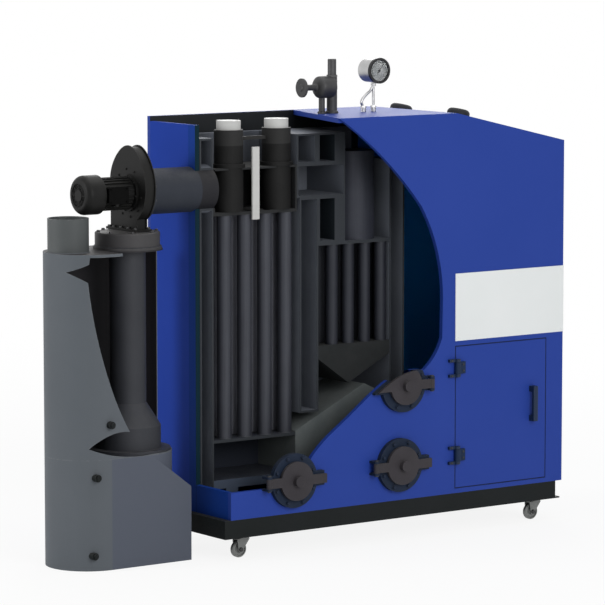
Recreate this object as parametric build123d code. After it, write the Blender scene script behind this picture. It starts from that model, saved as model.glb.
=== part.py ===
from build123d import *
import math
import os

# Cut-away industrial boiler with its exhaust fan and dust collector, in millimetres.
# x runs along the casing from its rear face, y from its near side to the far side, z up from the floor.
# Every piece is drawn in that frame and moved once, when it is written, to the middle of the footprint.

# Casing
casing_length = 1726
casing_width = 600
casing_height = 1600
slope_drop = 135
top_length = 1145
panel = 20

# Base frame and castors
base_height = 76
base_web = 6
base_flange = 45
base_rear_overhang = 29
base_front_inset = 34
foot_plate_reach = 24
cross_members = 2
castor_height = 90
castor_end_inset = 100
castor_side_inset = 62
castor_trail = 22
wheel_diameter = 68
wheel_width = 24
wheel_axle = 10
wheel_hub = 23
wheel_web_start = 29
wheel_web_end = 49
wheel_tread_start = 54
wheel_rounding = 5
fork_plate = 4
fork_crown = 46
fork_gap = 3
fork_rear_reach = 16
fork_front_reach = 20
fork_eye = 24
crown_gap = 6
running_gap = 0.3

# Section through the casing that opens the inside to view; its levels are shares of the casing's height
section_depth = 250
cut_top_x = 541
cut_shoulder = (789, 0.88)
cut_bend = (961, 0.764)
cut_side = (1054, 0.628)
cut_nose = (1076, 0.521)
cut_chin = (1073, 0.415)
cut_chin_bend = (1035, 0.37)
cut_jaw = (977, 0.335)
cut_fall = [(826, 0.328), (727, 0.295), (579, 0.228), (422, 0.153), (372, 0.118)]
cut_floor = (266, 0.07)
cut_far_x = 730

# Side door and bare plate
door_left = 1146
door_width = 485
door_sill = 24
door_height = 596
door_gap = 5
door_thickness = 24
plate_gap = 25
plate_height = 284
plate_thickness = 3
plate_left = 1141
handle_height = 150
handle_width = 24
handle_stand = 34
handle_inset = 76
handle_level = 250
handle_rounding = 5
hinge_height = 50
hinge_pin = 10
hinge_leaf = 26
hinge_leaf_length = 42
hinge_foot = 12
lower_hinge_rise = 139
upper_hinge_rise = 508

# Round cleaning hatches on the near side
hatch_ring = 224
hatch_bore = 150
hatch_ring_depth = 22
hatch_plate = 160
hatch_plate_depth = 14
hatch_gap = 5
hatch_ear = 60
hatch_ear_depth = 10
hatch_pin_reach = 136
hatch_knuckle = 24
hatch_pin = 12
hatch_knob = 44
pin_play = 1
left = -1
right = 1
lower_hatch_x = 842
lower_hatch_rise = 150
upper_hatch_x = 857
upper_hatch_rise = 483
rear_hatch_x = 301
rear_hatch_rise = 137
hatches = (
    (lower_hatch_x, lower_hatch_rise, left),
    (upper_hatch_x, upper_hatch_rise, right),
    (rear_hatch_x, rear_hatch_rise, left))

# Pressure vessel behind the section
vessel_rear = 22
vessel_front = 1062
vessel_lift = 84
vessel_side_gap = 18
sheet = 8
rear_jacket = 66
front_jacket = 78
far_jacket = 42
jacket_drop = 76
middle_jacket_gap = 24.9
middle_jacket = 95
middle_jacket_rise = 41
middle_jacket_lift = 280
bearer_width = 60
floor_slab = 36

# First tube bank
tube_diameter = 60
tube_wall = 4
bank_start = 163
bank_pitch = 100.7
bank_columns = 4
bank_row_pitch = 88
bank_setback = 4
ash_room = 202
tube_plate = 12

# Second tube bank, furnace roof and ash slope
pass_tube = 51
pass_start = 704
pass_pitch = 84
pass_columns = 4
pass_drop = 203
pass_height = 419
roof_drop = 165
roof_eave = 55
roof_low_x = 770
slope_foot_gap = 1.9
slope_foot_rise = 6
slope_head_x = 852
slope_head_gap = 10
slope_fall = 60

# Smoke box and its cleaning gear
smoke_box_height = 180
cleaner_diameter = 120
cleaner_first = 198
cleaner_pitch = 238
cleaner_drop = 48
collar_diameter = 136
collar_height = 16
cap_diameter = 100
cap_height = 38
bar_x = 294
bar_width = 35
bar_overlap = 22
bar_height = 297
link_height = 14
link_width = 16
link_drop = 44

# Gas passage and drum above the second bank
passage_gap = 9.9
passage_right = 752
cell_width = 100
cell_margin = 46
drum_back_gap = 86
drum_side_gap = 13
drum_front_gap = 35
drum_rise = 42

# Exhaust duct, fan and motor
exhaust_drop = 282
duct_rise = 100
duct_diameter = 184
duct_wall = 4
duct_flange = 230
duct_flange_depth = 10
fan_x = -264
scroll_depth = 50
fan_rise = 144
scroll_far = 125
scroll_shoulder = 20
scroll_tongue = (54, 105)
scroll_spiral = [(-118, 0), (-88, 120), (-4, 183), (92, 132)]
outlet_flange = 10
outlet_rim = 14
scroll_rim = 7
scroll_plate = 4
motor_diameter = 134
motor_length = 152
motor_fins = 24
fin_height = 7
fin_width = 3
fin_end_gap = 14
motor_flange = 150
motor_flange_depth = 9
cowl_diameter = 158
cowl_length = 85
cowl_rounding = 26
cowl_grille = 96
cowl_grille_depth = 5
cowl_hub = 48
terminal_length = 84
terminal_height = 60
terminal_depth = 20
terminal_inset = 60
terminal_rounding = 6
terminal_lid = 4
terminal_saddle = 22

# Dust collector
collector_radius = 175
collector_round_x = -487
collector_wall = 5
cut_depth = 43
cut_start_x = -570
cut_drop = 11
notch = [(-573, 38), (-640, 70), (-577, 110)]
fall_line = [(-550, 0.628), (-502, 0.401)]
slot_heel_x = -401
slot_crest = (-500, 95)
slot_tip = (-578, 46)
slot_trough = (-430, 6)
plate_cut_x = -430
plate_margin = 4
inner_pipe_x = -295
inner_pipe_diameter = 146
ash_box_end = -108
ash_box_shoulder = 301
ash_box_top = 444
lid_diameter = 262
lid_height = 68
lid_rim = 276
lid_rim_height = 10
lid_rounding = 6
stub_x = -574
stub_diameter = 165
stub_height = 136
stub_wall = 4
clip_diameter = 30
clip_depth = 20
clip_knob = 18
clip_knob_depth = 7
clips = ((-495, 584), (-554, 375), (-566, 62))
foot_flare = 262
foot_flare_stand = 104
foot_flare_height = 92
ash_flange_depth = 14

# Safety valve on the roof
valve_x = 693
valve_stem = 29
valve_stem_top = 226
valve_body = 100
valve_body_level = 92
valve_body_length = 92
valve_body_overhang = 22
valve_nose_length = 41
valve_neck = 38
valve_neck_length = 44
valve_disc = 85
valve_disc_depth = 7
valve_leg = 23
valve_leg_spacing = 42
valve_foot = 36
valve_foot_height = 8

# Pressure gauge on its siphon
gauge_x = 935
gauge_diameter = 100
gauge_depth = 92
gauge_bezel = 108
gauge_bezel_depth = 12
gauge_dial = 88
gauge_dial_recess = 6
gauge_rounding = 6
gauge_rise = 172
siphon_pipe = 12
siphon_reach = 62
siphon_foot_reach = 52
siphon_bulge_level = 40
siphon_end_lean = 0.5
siphon_socket = 22
siphon_socket_height = 16

# Domed knobs on the slope
knob_diameter = 96
knob_height = 30
knob_rounding = 18
knob_setback = 85
knob_side_inset = 102

# Places worked out from the sizes above
casing_floor = castor_height + base_height
casing_top = casing_floor + casing_height
front_top = casing_top - slope_drop
door_bottom = casing_floor + door_sill
plate_bottom = door_bottom + door_height + plate_gap
middle = casing_width / 2
inner_far = casing_width - panel
vessel_far = inner_far - vessel_side_gap
vessel_inner_far = vessel_far - far_jacket
vessel_floor_level = casing_floor + vessel_lift
vessel_floor_top = vessel_floor_level + floor_slab
jacket_top = casing_top - jacket_drop
exhaust_level = casing_top - exhaust_drop
upper_tube_plate = exhaust_level - duct_rise - tube_plate
lower_tube_plate = vessel_floor_level + ash_room
bank_end = bank_start + bank_pitch * (bank_columns - 1) + tube_diameter / 2
middle_jacket_x = bank_end + middle_jacket_gap
passage_left = bank_end + passage_gap
smoke_box_floor = upper_tube_plate + tube_plate
smoke_box_top = smoke_box_floor + smoke_box_height
shelf_level = smoke_box_top
cleaner_top = casing_top - cleaner_drop
link_level = cleaner_top - link_drop
bar_bottom = upper_tube_plate - bar_overlap
middle_jacket_top = smoke_box_floor + middle_jacket_rise
middle_jacket_bottom = vessel_floor_level + middle_jacket_lift
pass_top = middle_jacket_top - pass_drop
pass_bottom = pass_top - pass_height
slope_foot = (bank_end + slope_foot_gap, lower_tube_plate + slope_foot_rise)
slope_head = (slope_head_x, pass_bottom - roof_drop - slope_head_gap)
drum_bay = vessel_front - front_jacket - passage_right - drum_side_gap - drum_front_gap
drum_diameter = min(drum_bay, vessel_inner_far - section_depth - drum_back_gap)
drum_x = passage_right + drum_side_gap + drum_diameter / 2
drum_top = smoke_box_top + drum_rise
collector_height = exhaust_level - fan_rise - outlet_flange - lid_height
foot_flare_level = ash_box_top + foot_flare_stand
gauge_level = casing_top + gauge_rise
door_hinge_y = -hinge_leaf / 2 - running_gap
hatch_hinge_y = -(hatch_ring_depth + hatch_gap + hatch_plate_depth / 2)
collector_end = collector_round_x - collector_radius
near_face = -(hatch_ring_depth + hatch_gap + hatch_plate_depth + hatch_knob / 2)
origin_x = (collector_end + casing_length) / 2
origin_y = (near_face + casing_width) / 2
slope_angle = math.degrees(math.atan2(casing_top - front_top, casing_length - top_length))
mitre = panel * math.tan(math.radians(slope_angle / 2))
slope_skew = 1 / math.cos(math.radians(slope_angle)) - math.tan(math.radians(slope_angle))
front_inside = front_top - panel * slope_skew


def block(x0, x1, y0, y1, z0, z1):
    centre = ((x0 + x1) / 2, (y0 + y1) / 2, (z0 + z1) / 2)
    return Pos(*centre) * Box(x1 - x0, y1 - y0, z1 - z0)


def post(x, y, z0, z1, diameter):
    return Pos(x, y, (z0 + z1) / 2) * Cylinder(diameter / 2, z1 - z0)


def rod_x(x0, x1, y, z, diameter):
    return Pos((x0 + x1) / 2, y, z) * Rot(0, 90, 0) * Cylinder(diameter / 2, x1 - x0)


def rod_y(x, y0, y1, z, diameter):
    return Pos(x, (y0 + y1) / 2, z) * Rot(90, 0, 0) * Cylinder(diameter / 2, y1 - y0)


def side_plane(y):
    # Sketches on this plane read as seen from the near side: x to the right, z up.
    return Plane(origin=(0, y, 0), x_dir=(1, 0, 0), z_dir=(0, -1, 0))


def side_prism(face, y0, y1):
    # Extrudes a side-view sketch from y0 to y1.
    return extrude(side_plane(y1) * face, y1 - y0)


def save(name, *solids):
    os.makedirs("parts", exist_ok=True)
    shape = solids[0] if len(solids) == 1 else Compound(children=list(solids))
    export_step(Pos(-origin_x, -origin_y, 0) * shape, f"parts/{name}.step")


def casing_profile():
    # Side view of the casing: level roof, then a slope down to the front.
    return make_face(Polyline(
        (0, casing_floor), (casing_length, casing_floor), (casing_length, front_top),
        (top_length, casing_top), (0, casing_top), close=True))


def section_profile():
    # Outline of the region that the section takes out of the near side.
    def places(*points):
        return [(x, casing_floor + share * casing_height) for x, share in points]
    above = casing_top + panel
    behind = -4 * panel
    top_edge = (cut_top_x, casing_top)
    shoulder, bend, side, nose, chin, chin_bend, jaw, floor = places(
        cut_shoulder, cut_bend, cut_side, cut_nose, cut_chin, cut_chin_bend, cut_jaw, cut_floor)
    return make_face(Curve() + [
        Line((behind, above), (cut_top_x, above)),
        Line((cut_top_x, above), top_edge),
        ThreePointArc(top_edge, shoulder, bend),
        ThreePointArc(bend, side, nose),
        Line(nose, chin),
        ThreePointArc(chin, chin_bend, jaw),
        Spline(jaw, *places(*cut_fall), floor),
        Line(floor, (behind, floor[1])),
        Line((behind, floor[1]), (behind, above))])


def section_cut():
    return side_prism(section_profile(), -2 * collector_radius, section_depth)


def base_frame():
    x0 = -base_rear_overhang
    x1 = casing_length - base_front_inset
    z0 = castor_height
    z1 = casing_floor
    outer = block(x0, x1, 0, casing_width, z0, z1)
    near = base_web
    far = casing_width - base_web
    channel = block(x0 + base_web, x1 - base_web, near, far, z0 + base_web, z1 - base_web)
    well = block(x0 + base_flange, x1 - base_flange, base_flange, casing_width - base_flange, z0, z1)
    ring = outer - channel - well
    for i in range(cross_members):
        x = x0 + (x1 - x0) * (i + 1) / (cross_members + 1)
        ring += block(x - base_flange / 2, x + base_flange / 2, near, far, z1 - base_web, z1)
        ring += block(x - base_web / 2, x + base_web / 2, near, far, z0 + base_web, z1 - base_web)
    ring += block(x1 - base_flange, x1 + foot_plate_reach, 0, casing_width, z0, z0 + base_web)
    for x, y in castor_places():
        x2 = x - base_flange
        y2 = y - base_flange
        ring += block(x2, x2 + 2 * base_flange, y2, y2 + 2 * base_flange, z0, z0 + base_web)
    return ring


def castor_places():
    ends = (castor_end_inset, casing_length - castor_end_inset)
    sides = (castor_side_inset, casing_width - castor_side_inset)
    return [(x, y) for y in sides for x in ends]


def castor_fork(x, y):
    # Swivel plate, crown and two cheeks that trail behind the swivel axis and hold the axle.
    top = castor_height - running_gap
    wheel_x = x - castor_trail
    axle_z = wheel_diameter / 2
    cheek = wheel_width / 2 + fork_gap
    outside = cheek + fork_plate
    rear = wheel_x - fork_rear_reach
    front = x + fork_front_reach
    crown_z = wheel_diameter + crown_gap
    fork = post(x, y, crown_z + fork_plate, top, fork_crown)
    fork += block(rear, front, y - outside, y + outside, crown_z, crown_z + fork_plate)
    face = make_face(Polyline((wheel_x - fork_eye / 2, axle_z), (wheel_x + fork_eye / 2, axle_z),
                              (front, crown_z), (rear, crown_z), close=True))
    face += Pos(wheel_x, axle_z) * Circle(fork_eye / 2)
    for y0 in (y - outside, y + cheek):
        fork += side_prism(face, y0, y0 + fork_plate)
    return fork + rod_y(wheel_x, y - cheek, y + cheek, axle_z, wheel_axle)


def castor_wheel(x, y):
    # Turned wheel: hub, thinner web and rounded tread.
    radius = wheel_diameter / 2
    half = wheel_width / 2
    waist = half - wheel_rounding
    bore = wheel_axle / 2 + running_gap
    hub = wheel_hub / 2
    side = [(bore, half), (hub, half), (wheel_web_start / 2, waist), (wheel_web_end / 2, waist),
            (wheel_tread_start / 2, half), (radius - wheel_rounding, half), (radius, waist)]
    other_side = [(r, -z) for r, z in reversed(side)]
    body = revolve(make_face(Polyline(*side, *other_side, close=True)), Axis.Y)
    return Pos(x - castor_trail, y, radius) * body


def near_panel():
    sheet_body = side_prism(casing_profile(), 0, panel)
    opening = block(door_left - door_gap, door_left + door_width + door_gap, -1, panel + 1,
                    door_bottom - door_gap, door_bottom + door_height + door_gap)
    sheet_body -= opening + section_cut()
    for x, rise, _ in hatches:
        sheet_body -= rod_y(x, -1, panel + 1, casing_floor + rise, hatch_bore)
    return sheet_body


def far_panel():
    return side_prism(casing_profile(), inner_far, casing_width)


def rear_panel():
    wall = block(0, panel, panel, inner_far, casing_floor, casing_top - panel)
    wall -= rod_x(-1, panel + 1, middle, exhaust_level, duct_diameter + 2 * running_gap)
    return wall - section_cut()


def roof_panel():
    # The section leaves the roof from a slanting line forward.
    face = make_face(Polyline((0, casing_top - panel), (top_length - mitre, casing_top - panel),
                              (top_length, casing_top), (0, casing_top), close=True))
    wall = side_prism(face, panel, inner_far)
    lean = (cut_far_x - cut_top_x) / casing_width
    far_end = cut_top_x + lean * casing_width
    removed = make_face(Polyline((-panel, 0), (cut_top_x, 0), (far_end, casing_width),
                                 (-panel, casing_width), close=True))
    return wall - extrude(Pos(0, 0, casing_top - 2 * panel) * removed, 3 * panel)


def slope_panel():
    face = make_face(Polyline((top_length, casing_top), (top_length - mitre, casing_top - panel),
                              (casing_length - panel, front_inside), (casing_length, front_top), close=True))
    return side_prism(face, panel, inner_far)


def front_panel():
    face = make_face(Polyline((casing_length - panel, casing_floor), (casing_length, casing_floor),
                              (casing_length, front_top), (casing_length - panel, front_inside), close=True))
    return side_prism(face, panel, inner_far)


def floor_panel():
    return block(panel, casing_length - panel, panel, inner_far, casing_floor, casing_floor + panel / 2)


def bare_plate():
    plate_top = plate_bottom + plate_height
    return block(plate_left, casing_length, -plate_thickness, 0, plate_bottom, plate_top)


def side_door():
    x0 = door_left
    x1 = door_left + door_width
    door = block(x0, x1, 0, door_thickness, door_bottom, door_bottom + door_height)
    door -= block(x0 + panel, x1 - panel, door_thickness - panel / 2, door_thickness + 1,
                  door_bottom + panel, door_bottom + door_height - panel)
    for level in (lower_hinge_rise, upper_hinge_rise):
        z = door_bottom + level
        low = z - hinge_height / 2
        high = z + hinge_height / 2
        knuckle = post(x0, door_hinge_y, low, high, hinge_leaf)
        leaf = block(x0, x0 + hinge_leaf_length, door_hinge_y, 0, low, high)
        door += knuckle + leaf
        door -= post(x0, door_hinge_y, z - hinge_height, z + hinge_height, hinge_pin + 2 * running_gap)
    return door


def door_hinges():
    # Fixed pin with a foot above and below each knuckle of the door.
    hinges = []
    for level in (lower_hinge_rise, upper_hinge_rise):
        z = door_bottom + level
        low = z - hinge_height / 2 - pin_play
        high = z + hinge_height / 2 + pin_play
        hinge = post(door_left, door_hinge_y, low - hinge_foot, high + hinge_foot, hinge_pin)
        for z0, z1 in ((low - hinge_foot, low), (high, high + hinge_foot)):
            hinge += post(door_left, door_hinge_y, z0, z1, hinge_leaf - 2 * pin_play)
            x1 = door_left - door_gap / 2
            hinge += block(door_left - hinge_leaf_length, x1, door_hinge_y, 0, z0, z1)
        hinges.append(hinge)
    return hinges


def door_handle():
    x = door_left + door_width - handle_inset
    z0 = door_bottom + handle_level
    z1 = z0 + handle_height
    grip = block(x - handle_width / 2, x + handle_width / 2, -handle_stand, -handle_stand / 2, z0, z1)
    grip = fillet(grip.edges().filter_by(Axis.Z), handle_rounding)
    for low in (z0, z1 - handle_width):
        x0 = x - handle_width / 2
        grip += block(x0, x0 + handle_width, -handle_stand / 2, 0, low, low + handle_width)
    return grip


def between(a, b, y0, y1, z0, z1):
    # Block between two x places given in either order.
    return block(min(a, b), max(a, b), y0, y1, z0, z1)


def hatch_frame(x, z, hinge_side):
    # Ring with two hinge ears and their pin on one side, and a catch lug on the other.
    ring = rod_y(x, -hatch_ring_depth, 0, z, hatch_ring)
    pin_x = x + hinge_side * hatch_pin_reach
    root = x + hinge_side * hatch_bore / 2
    for side in (-1, 1):
        ear_z = z + side * (hatch_ear - hatch_ear_depth) / 2
        z0 = ear_z - hatch_ear_depth / 2
        z1 = ear_z + hatch_ear_depth / 2
        ring += between(pin_x + hinge_side * hatch_knuckle / 2, root, -hatch_ring_depth, 0, z0, z1)
        ring += between(pin_x - hatch_knuckle / 2, pin_x + hatch_knuckle / 2, hatch_hinge_y, 0, z0, z1)
        ring += post(pin_x, hatch_hinge_y, z0, z1, hatch_knuckle)
    lug_root = x - hinge_side * hatch_bore / 2
    lug_end = x - hinge_side * (hatch_pin_reach + hatch_knuckle / 2)
    ring += between(lug_root, lug_end, -hatch_ring_depth, 0, z - hatch_ear / 2, z + hatch_ear / 2)
    ring -= rod_y(x, -hatch_ring_depth - 1, 1, z, hatch_bore)
    return ring + post(pin_x, hatch_hinge_y, z - hatch_ear / 2, z + hatch_ear / 2, hatch_pin)


def hatch_door(x, z, hinge_side):
    y1 = -hatch_ring_depth - hatch_gap
    y0 = y1 - hatch_plate_depth
    pin_x = x + hinge_side * hatch_pin_reach
    arm = hatch_ear / 2 - hatch_ear_depth - pin_play
    door = rod_y(x, y0, y1, z, hatch_plate)
    catch_x = x - hinge_side * (hatch_pin_reach + hatch_knuckle / 2)
    door += between(pin_x, catch_x, y0, y1, z - arm, z + arm)
    door += post(pin_x, hatch_hinge_y, z - arm, z + arm, hatch_knuckle)
    door -= post(pin_x, hatch_hinge_y, z - hatch_ear, z + hatch_ear, hatch_pin + 2 * running_gap)
    return door + rod_y(x, y0 - hatch_knob / 2, y0, z, hatch_knob)


def hatch_pieces(make):
    # The section passes through the hatch that stands highest, and takes off what is above its line.
    pieces = [make(x, casing_floor + rise, hinge_side) for x, rise, hinge_side in hatches]
    pieces[1] -= section_cut()
    return pieces


def cleaner_places():
    return [cleaner_first, cleaner_first + cleaner_pitch]


def hollow_wall(x0, x1, y0, y1, z0, z1):
    # Water jacket of two sheets with closed ends, open at the section.
    body = block(x0, x1, y0, y1, z0, z1)
    return body - block(x0 + sheet, x1 - sheet, y0 - 1, y1 - sheet, z0 + sheet, z1 - sheet)


def rear_water_wall():
    wall = hollow_wall(vessel_rear, vessel_rear + rear_jacket, section_depth, vessel_far,
                       vessel_floor_level, jacket_top)
    x1 = vessel_rear + rear_jacket
    sleeve = rod_x(vessel_rear, x1, middle, exhaust_level, duct_diameter + 2 * sheet)
    sleeve = sleeve & block(vessel_rear, x1, section_depth, vessel_far, 0, jacket_top)
    bore = rod_x(vessel_rear - 1, x1 + 1, middle, exhaust_level, duct_diameter + 2 * running_gap)
    return wall + sleeve - bore


def front_water_wall():
    return hollow_wall(vessel_front - front_jacket, vessel_front, section_depth, vessel_far,
                       vessel_floor_level, shelf_level)


def middle_water_wall():
    return hollow_wall(middle_jacket_x, middle_jacket_x + middle_jacket, section_depth, vessel_inner_far,
                       middle_jacket_bottom, middle_jacket_top)


def far_water_wall():
    return block(vessel_rear + rear_jacket, vessel_front - front_jacket, vessel_inner_far, vessel_far,
                 vessel_floor_level, jacket_top)


def vessel_floor():
    x0 = vessel_rear + rear_jacket
    x1 = vessel_front - front_jacket
    floor = block(x0, x1, section_depth, vessel_inner_far, vessel_floor_level, vessel_floor_top)
    for x in (x0 + bearer_width, x1 - 2 * bearer_width):
        floor += block(x, x + bearer_width, section_depth, vessel_inner_far,
                       casing_floor + panel / 2, vessel_floor_level)
    return floor


def tube_places(start, pitch, columns, diameter):
    # As many rows, from the section back, as the vessel's depth holds.
    first = section_depth + bank_setback + diameter / 2
    last = vessel_inner_far - bank_setback - diameter / 2
    rows = 1 + int((last - first) // bank_row_pitch)
    return [(start + pitch * i, first + bank_row_pitch * j) for j in range(rows) for i in range(columns)]


def bored_plate(x1, z0):
    # Plate across the vessel with one bore above or below each tube of the first bank.
    plate = block(vessel_rear + rear_jacket, x1, section_depth, vessel_inner_far, z0, z0 + tube_plate)
    for x, y in tube_places(bank_start, bank_pitch, bank_columns, tube_diameter):
        plate -= post(x, y, z0 - 1, z0 + tube_plate + 1, tube_diameter - 2 * tube_wall)
    return plate


def tube(x, y, z0, z1, diameter):
    return post(x, y, z0, z1, diameter) - post(x, y, z0 - 1, z1 + 1, diameter - 2 * tube_wall)


def first_bank():
    places = tube_places(bank_start, bank_pitch, bank_columns, tube_diameter)
    return [tube(x, y, lower_tube_plate, upper_tube_plate, tube_diameter) for x, y in places]


def second_bank():
    places = tube_places(pass_start, pass_pitch, pass_columns, pass_tube)
    return [tube(x, y, pass_bottom, pass_top, pass_tube) for x, y in places]


def smoke_box():
    # Hood over the first bank, in one piece with the bank's upper plate.
    x0 = vessel_rear + rear_jacket
    x1 = passage_left
    z0 = smoke_box_floor
    box = block(x0, x1, section_depth, vessel_inner_far, z0, smoke_box_top)
    inner_far_wall = vessel_inner_far - sheet
    inner_top = smoke_box_top - sheet
    box -= block(x0 + sheet, x1 - sheet, section_depth - 1, inner_far_wall, z0 - 1, inner_top)
    for x in cleaner_places():
        box -= post(x, middle, z0, smoke_box_top + 1, cleaner_diameter + 2 * running_gap)
    box -= rod_x(x0 - 1, x0 + sheet + 1, middle, exhaust_level, duct_diameter + 2 * running_gap)
    return box + bored_plate(x1, upper_tube_plate)


def cleaning_cylinders():
    z0 = smoke_box_floor
    cylinders = []
    for x in cleaner_places():
        body = post(x, middle, z0, cleaner_top, cleaner_diameter)
        body += post(x, middle, smoke_box_top, smoke_box_top + collar_height, collar_diameter)
        cylinders.append(body)
    x0, x1 = cleaner_places()
    half = link_width / 2
    link = block(x0, x1, middle - half, middle + half, link_level, link_level + link_height)
    return cylinders[0] + cylinders[1] + link


def cylinder_caps():
    z1 = cleaner_top + cap_height
    return [post(x, middle, cleaner_top, z1, cap_diameter) for x in cleaner_places()]


def cleaning_bar():
    x0 = bar_x - bar_width / 2
    z1 = bar_bottom + bar_height
    return block(x0, x0 + bar_width, section_depth - sheet, section_depth, bar_bottom, z1)


def gas_passage():
    # Folded passage above the second bank, on the bank's plate: upper cells, a middle and a lower cell.
    x0 = middle_jacket_x + middle_jacket
    y1 = vessel_inner_far
    z0 = pass_top + tube_plate
    body = block(passage_left, passage_right, section_depth, y1, middle_jacket_top, jacket_top)
    body += block(x0, passage_right, section_depth, y1, z0, middle_jacket_top)
    cells = [
        (passage_left, passage_right, middle_jacket_top, shelf_level),
        (passage_left, passage_left + cell_width, shelf_level, jacket_top),
        (passage_left + cell_width + sheet, passage_right - cell_margin, shelf_level, jacket_top),
        (x0, passage_right - cell_margin, z0, middle_jacket_top)]
    for left_x, right_x, low, high in cells:
        body -= block(left_x + sheet, right_x - sheet, section_depth - 1, vessel_inner_far - sheet,
                      low + sheet, high - sheet)
    return body + block(x0, vessel_front - front_jacket, section_depth, vessel_inner_far, pass_top, z0)


def turning_drum():
    y = section_depth + drum_diameter / 2
    return post(drum_x, y, pass_top + tube_plate, drum_top, drum_diameter)


def fire_roof():
    x0 = middle_jacket_x + middle_jacket
    x1 = vessel_front - front_jacket
    eave = pass_bottom - roof_eave
    face = make_face(Polyline((x0, pass_bottom), (x1, pass_bottom), (x1, eave),
                              (roof_low_x, pass_bottom - roof_drop), (x0, eave), close=True))
    return side_prism(face, section_depth, vessel_inner_far)


def ash_slope():
    face = make_face(Polyline(
        slope_foot, slope_head, (vessel_front - front_jacket, slope_head[1] - slope_fall),
        (vessel_front - front_jacket, vessel_floor_top),
        (slope_foot[0], vessel_floor_top), close=True))
    return side_prism(face, section_depth, vessel_inner_far)


def exhaust_duct():
    x0 = fan_x + scroll_depth / 2
    x1 = vessel_rear + rear_jacket
    duct = rod_x(x0, x1, middle, exhaust_level, duct_diameter)
    return duct - rod_x(x0 - 1, x1 + 1, middle, exhaust_level, duct_diameter - 2 * duct_wall)


def duct_collar():
    # Flange slipped over the duct against the fan.
    x0 = fan_x + scroll_depth / 2
    x1 = x0 + duct_flange_depth
    collar = rod_x(x0, x1, middle, exhaust_level, duct_flange)
    return collar - rod_x(x0 - 1, x1 + 1, middle, exhaust_level, duct_diameter + 2 * running_gap)


def scroll_outline(grown):
    # Spiral from the tongue over the top and straight down to the collector, seen from behind the fan.
    near = -scroll_tongue[0] - grown
    far = scroll_far + grown
    throat = -fan_rise
    tongue = (near, -scroll_tongue[1])
    shoulder = (far, scroll_shoulder)
    spiral = [Vector(point) + Vector(point).normalized() * grown for point in scroll_spiral]
    return make_face(Curve() + [
        Spline(tongue, *spiral, shoulder),
        Line(shoulder, (far, throat)),
        Line((far, throat), (near, throat)),
        Line((near, throat), tongue)])


def fan_scroll():
    # Two side plates stand proud of the band that joins them.
    def layer(x, depth, grown):
        plane = Plane(origin=(x, middle, exhaust_level), x_dir=(0, 1, 0), z_dir=(1, 0, 0))
        return extrude(plane * scroll_outline(grown), depth)
    x0 = fan_x - scroll_depth / 2
    scroll = layer(x0, scroll_depth, 0)
    for x in (x0, x0 + scroll_depth - scroll_plate):
        scroll += layer(x, scroll_plate, scroll_rim)
    return scroll


def fan_outlet():
    # Flange between the scroll's throat and the collector's lid.
    z0 = collector_height + lid_height
    half = scroll_depth / 2 + outlet_rim
    return block(fan_x - half, fan_x + half, middle - scroll_tongue[0] - scroll_rim - outlet_rim,
                 middle + scroll_far + scroll_rim + outlet_rim, z0, z0 + outlet_flange)


def fan_motor():
    # Flanged motor with lengthwise fins and a rounded cowl whose end has a ring of grille.
    x1 = fan_x - scroll_depth / 2
    x0 = x1 - motor_length
    core = motor_diameter - 2 * fin_height
    body = rod_x(x0, x1, middle, exhaust_level, core)
    body += rod_x(x1 - motor_flange_depth, x1, middle, exhaust_level, motor_flange)
    fin = block(x0, x1 - fin_end_gap, -fin_width / 2, fin_width / 2, 0, motor_diameter / 2)
    axis = Pos(0, middle, exhaust_level)
    body += [axis * Rot(360 * i / motor_fins, 0, 0) * fin for i in range(motor_fins)]
    cowl = rod_x(x0 - cowl_length, x0, middle, exhaust_level, cowl_diameter)
    cowl = fillet(cowl.edges().group_by(Axis.X)[0], cowl_rounding)
    end = x0 - cowl_length
    ring = rod_x(end - 1, end + cowl_grille_depth, middle, exhaust_level, cowl_grille)
    ring -= rod_x(end - 2, end + 2 * cowl_grille_depth, middle, exhaust_level, cowl_hub)
    return body + (cowl - ring)


def terminal_box():
    # Box on the near side of the motor, seated on its fins.
    x1 = fan_x - scroll_depth / 2 - terminal_inset
    y0 = middle - motor_diameter / 2 - terminal_depth
    z0 = exhaust_level - terminal_height / 2
    z1 = exhaust_level + terminal_height / 2
    box = block(x1 - terminal_length, x1, y0, middle - motor_diameter / 2 + terminal_saddle, z0, z1)
    box = fillet(box.edges().filter_by(Axis.Y), terminal_rounding)
    lid = block(x1 - terminal_length - terminal_lid, x1 + terminal_lid,
                y0 - terminal_lid, y0, z0 - terminal_lid, z1 + terminal_lid)
    box += fillet(lid.edges().filter_by(Axis.Y), terminal_rounding)
    seat = motor_diameter + 2 * running_gap
    return box - rod_x(x1 - 2 * terminal_length, x1 + 1, middle, exhaust_level, seat)


def obround(inset):
    # Plan of the collector: two round ends joined by flat sides.
    span = inner_pipe_x - collector_round_x
    centre = Pos((inner_pipe_x + collector_round_x) / 2, middle)
    return centre * SlotCenterToCenter(span, 2 * (collector_radius - inset))


def ash_box():
    # Closed foot of the collector, drawn out towards the casing under a sloping top.
    face = make_face(Polyline(
        (collector_round_x, 0), (ash_box_end, 0), (ash_box_end, ash_box_shoulder),
        (inner_pipe_x, ash_box_top), (collector_round_x, ash_box_top), close=True))
    box = side_prism(face, middle - collector_radius, middle + collector_radius)
    return box + extrude(obround(0), ash_box_top)


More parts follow.
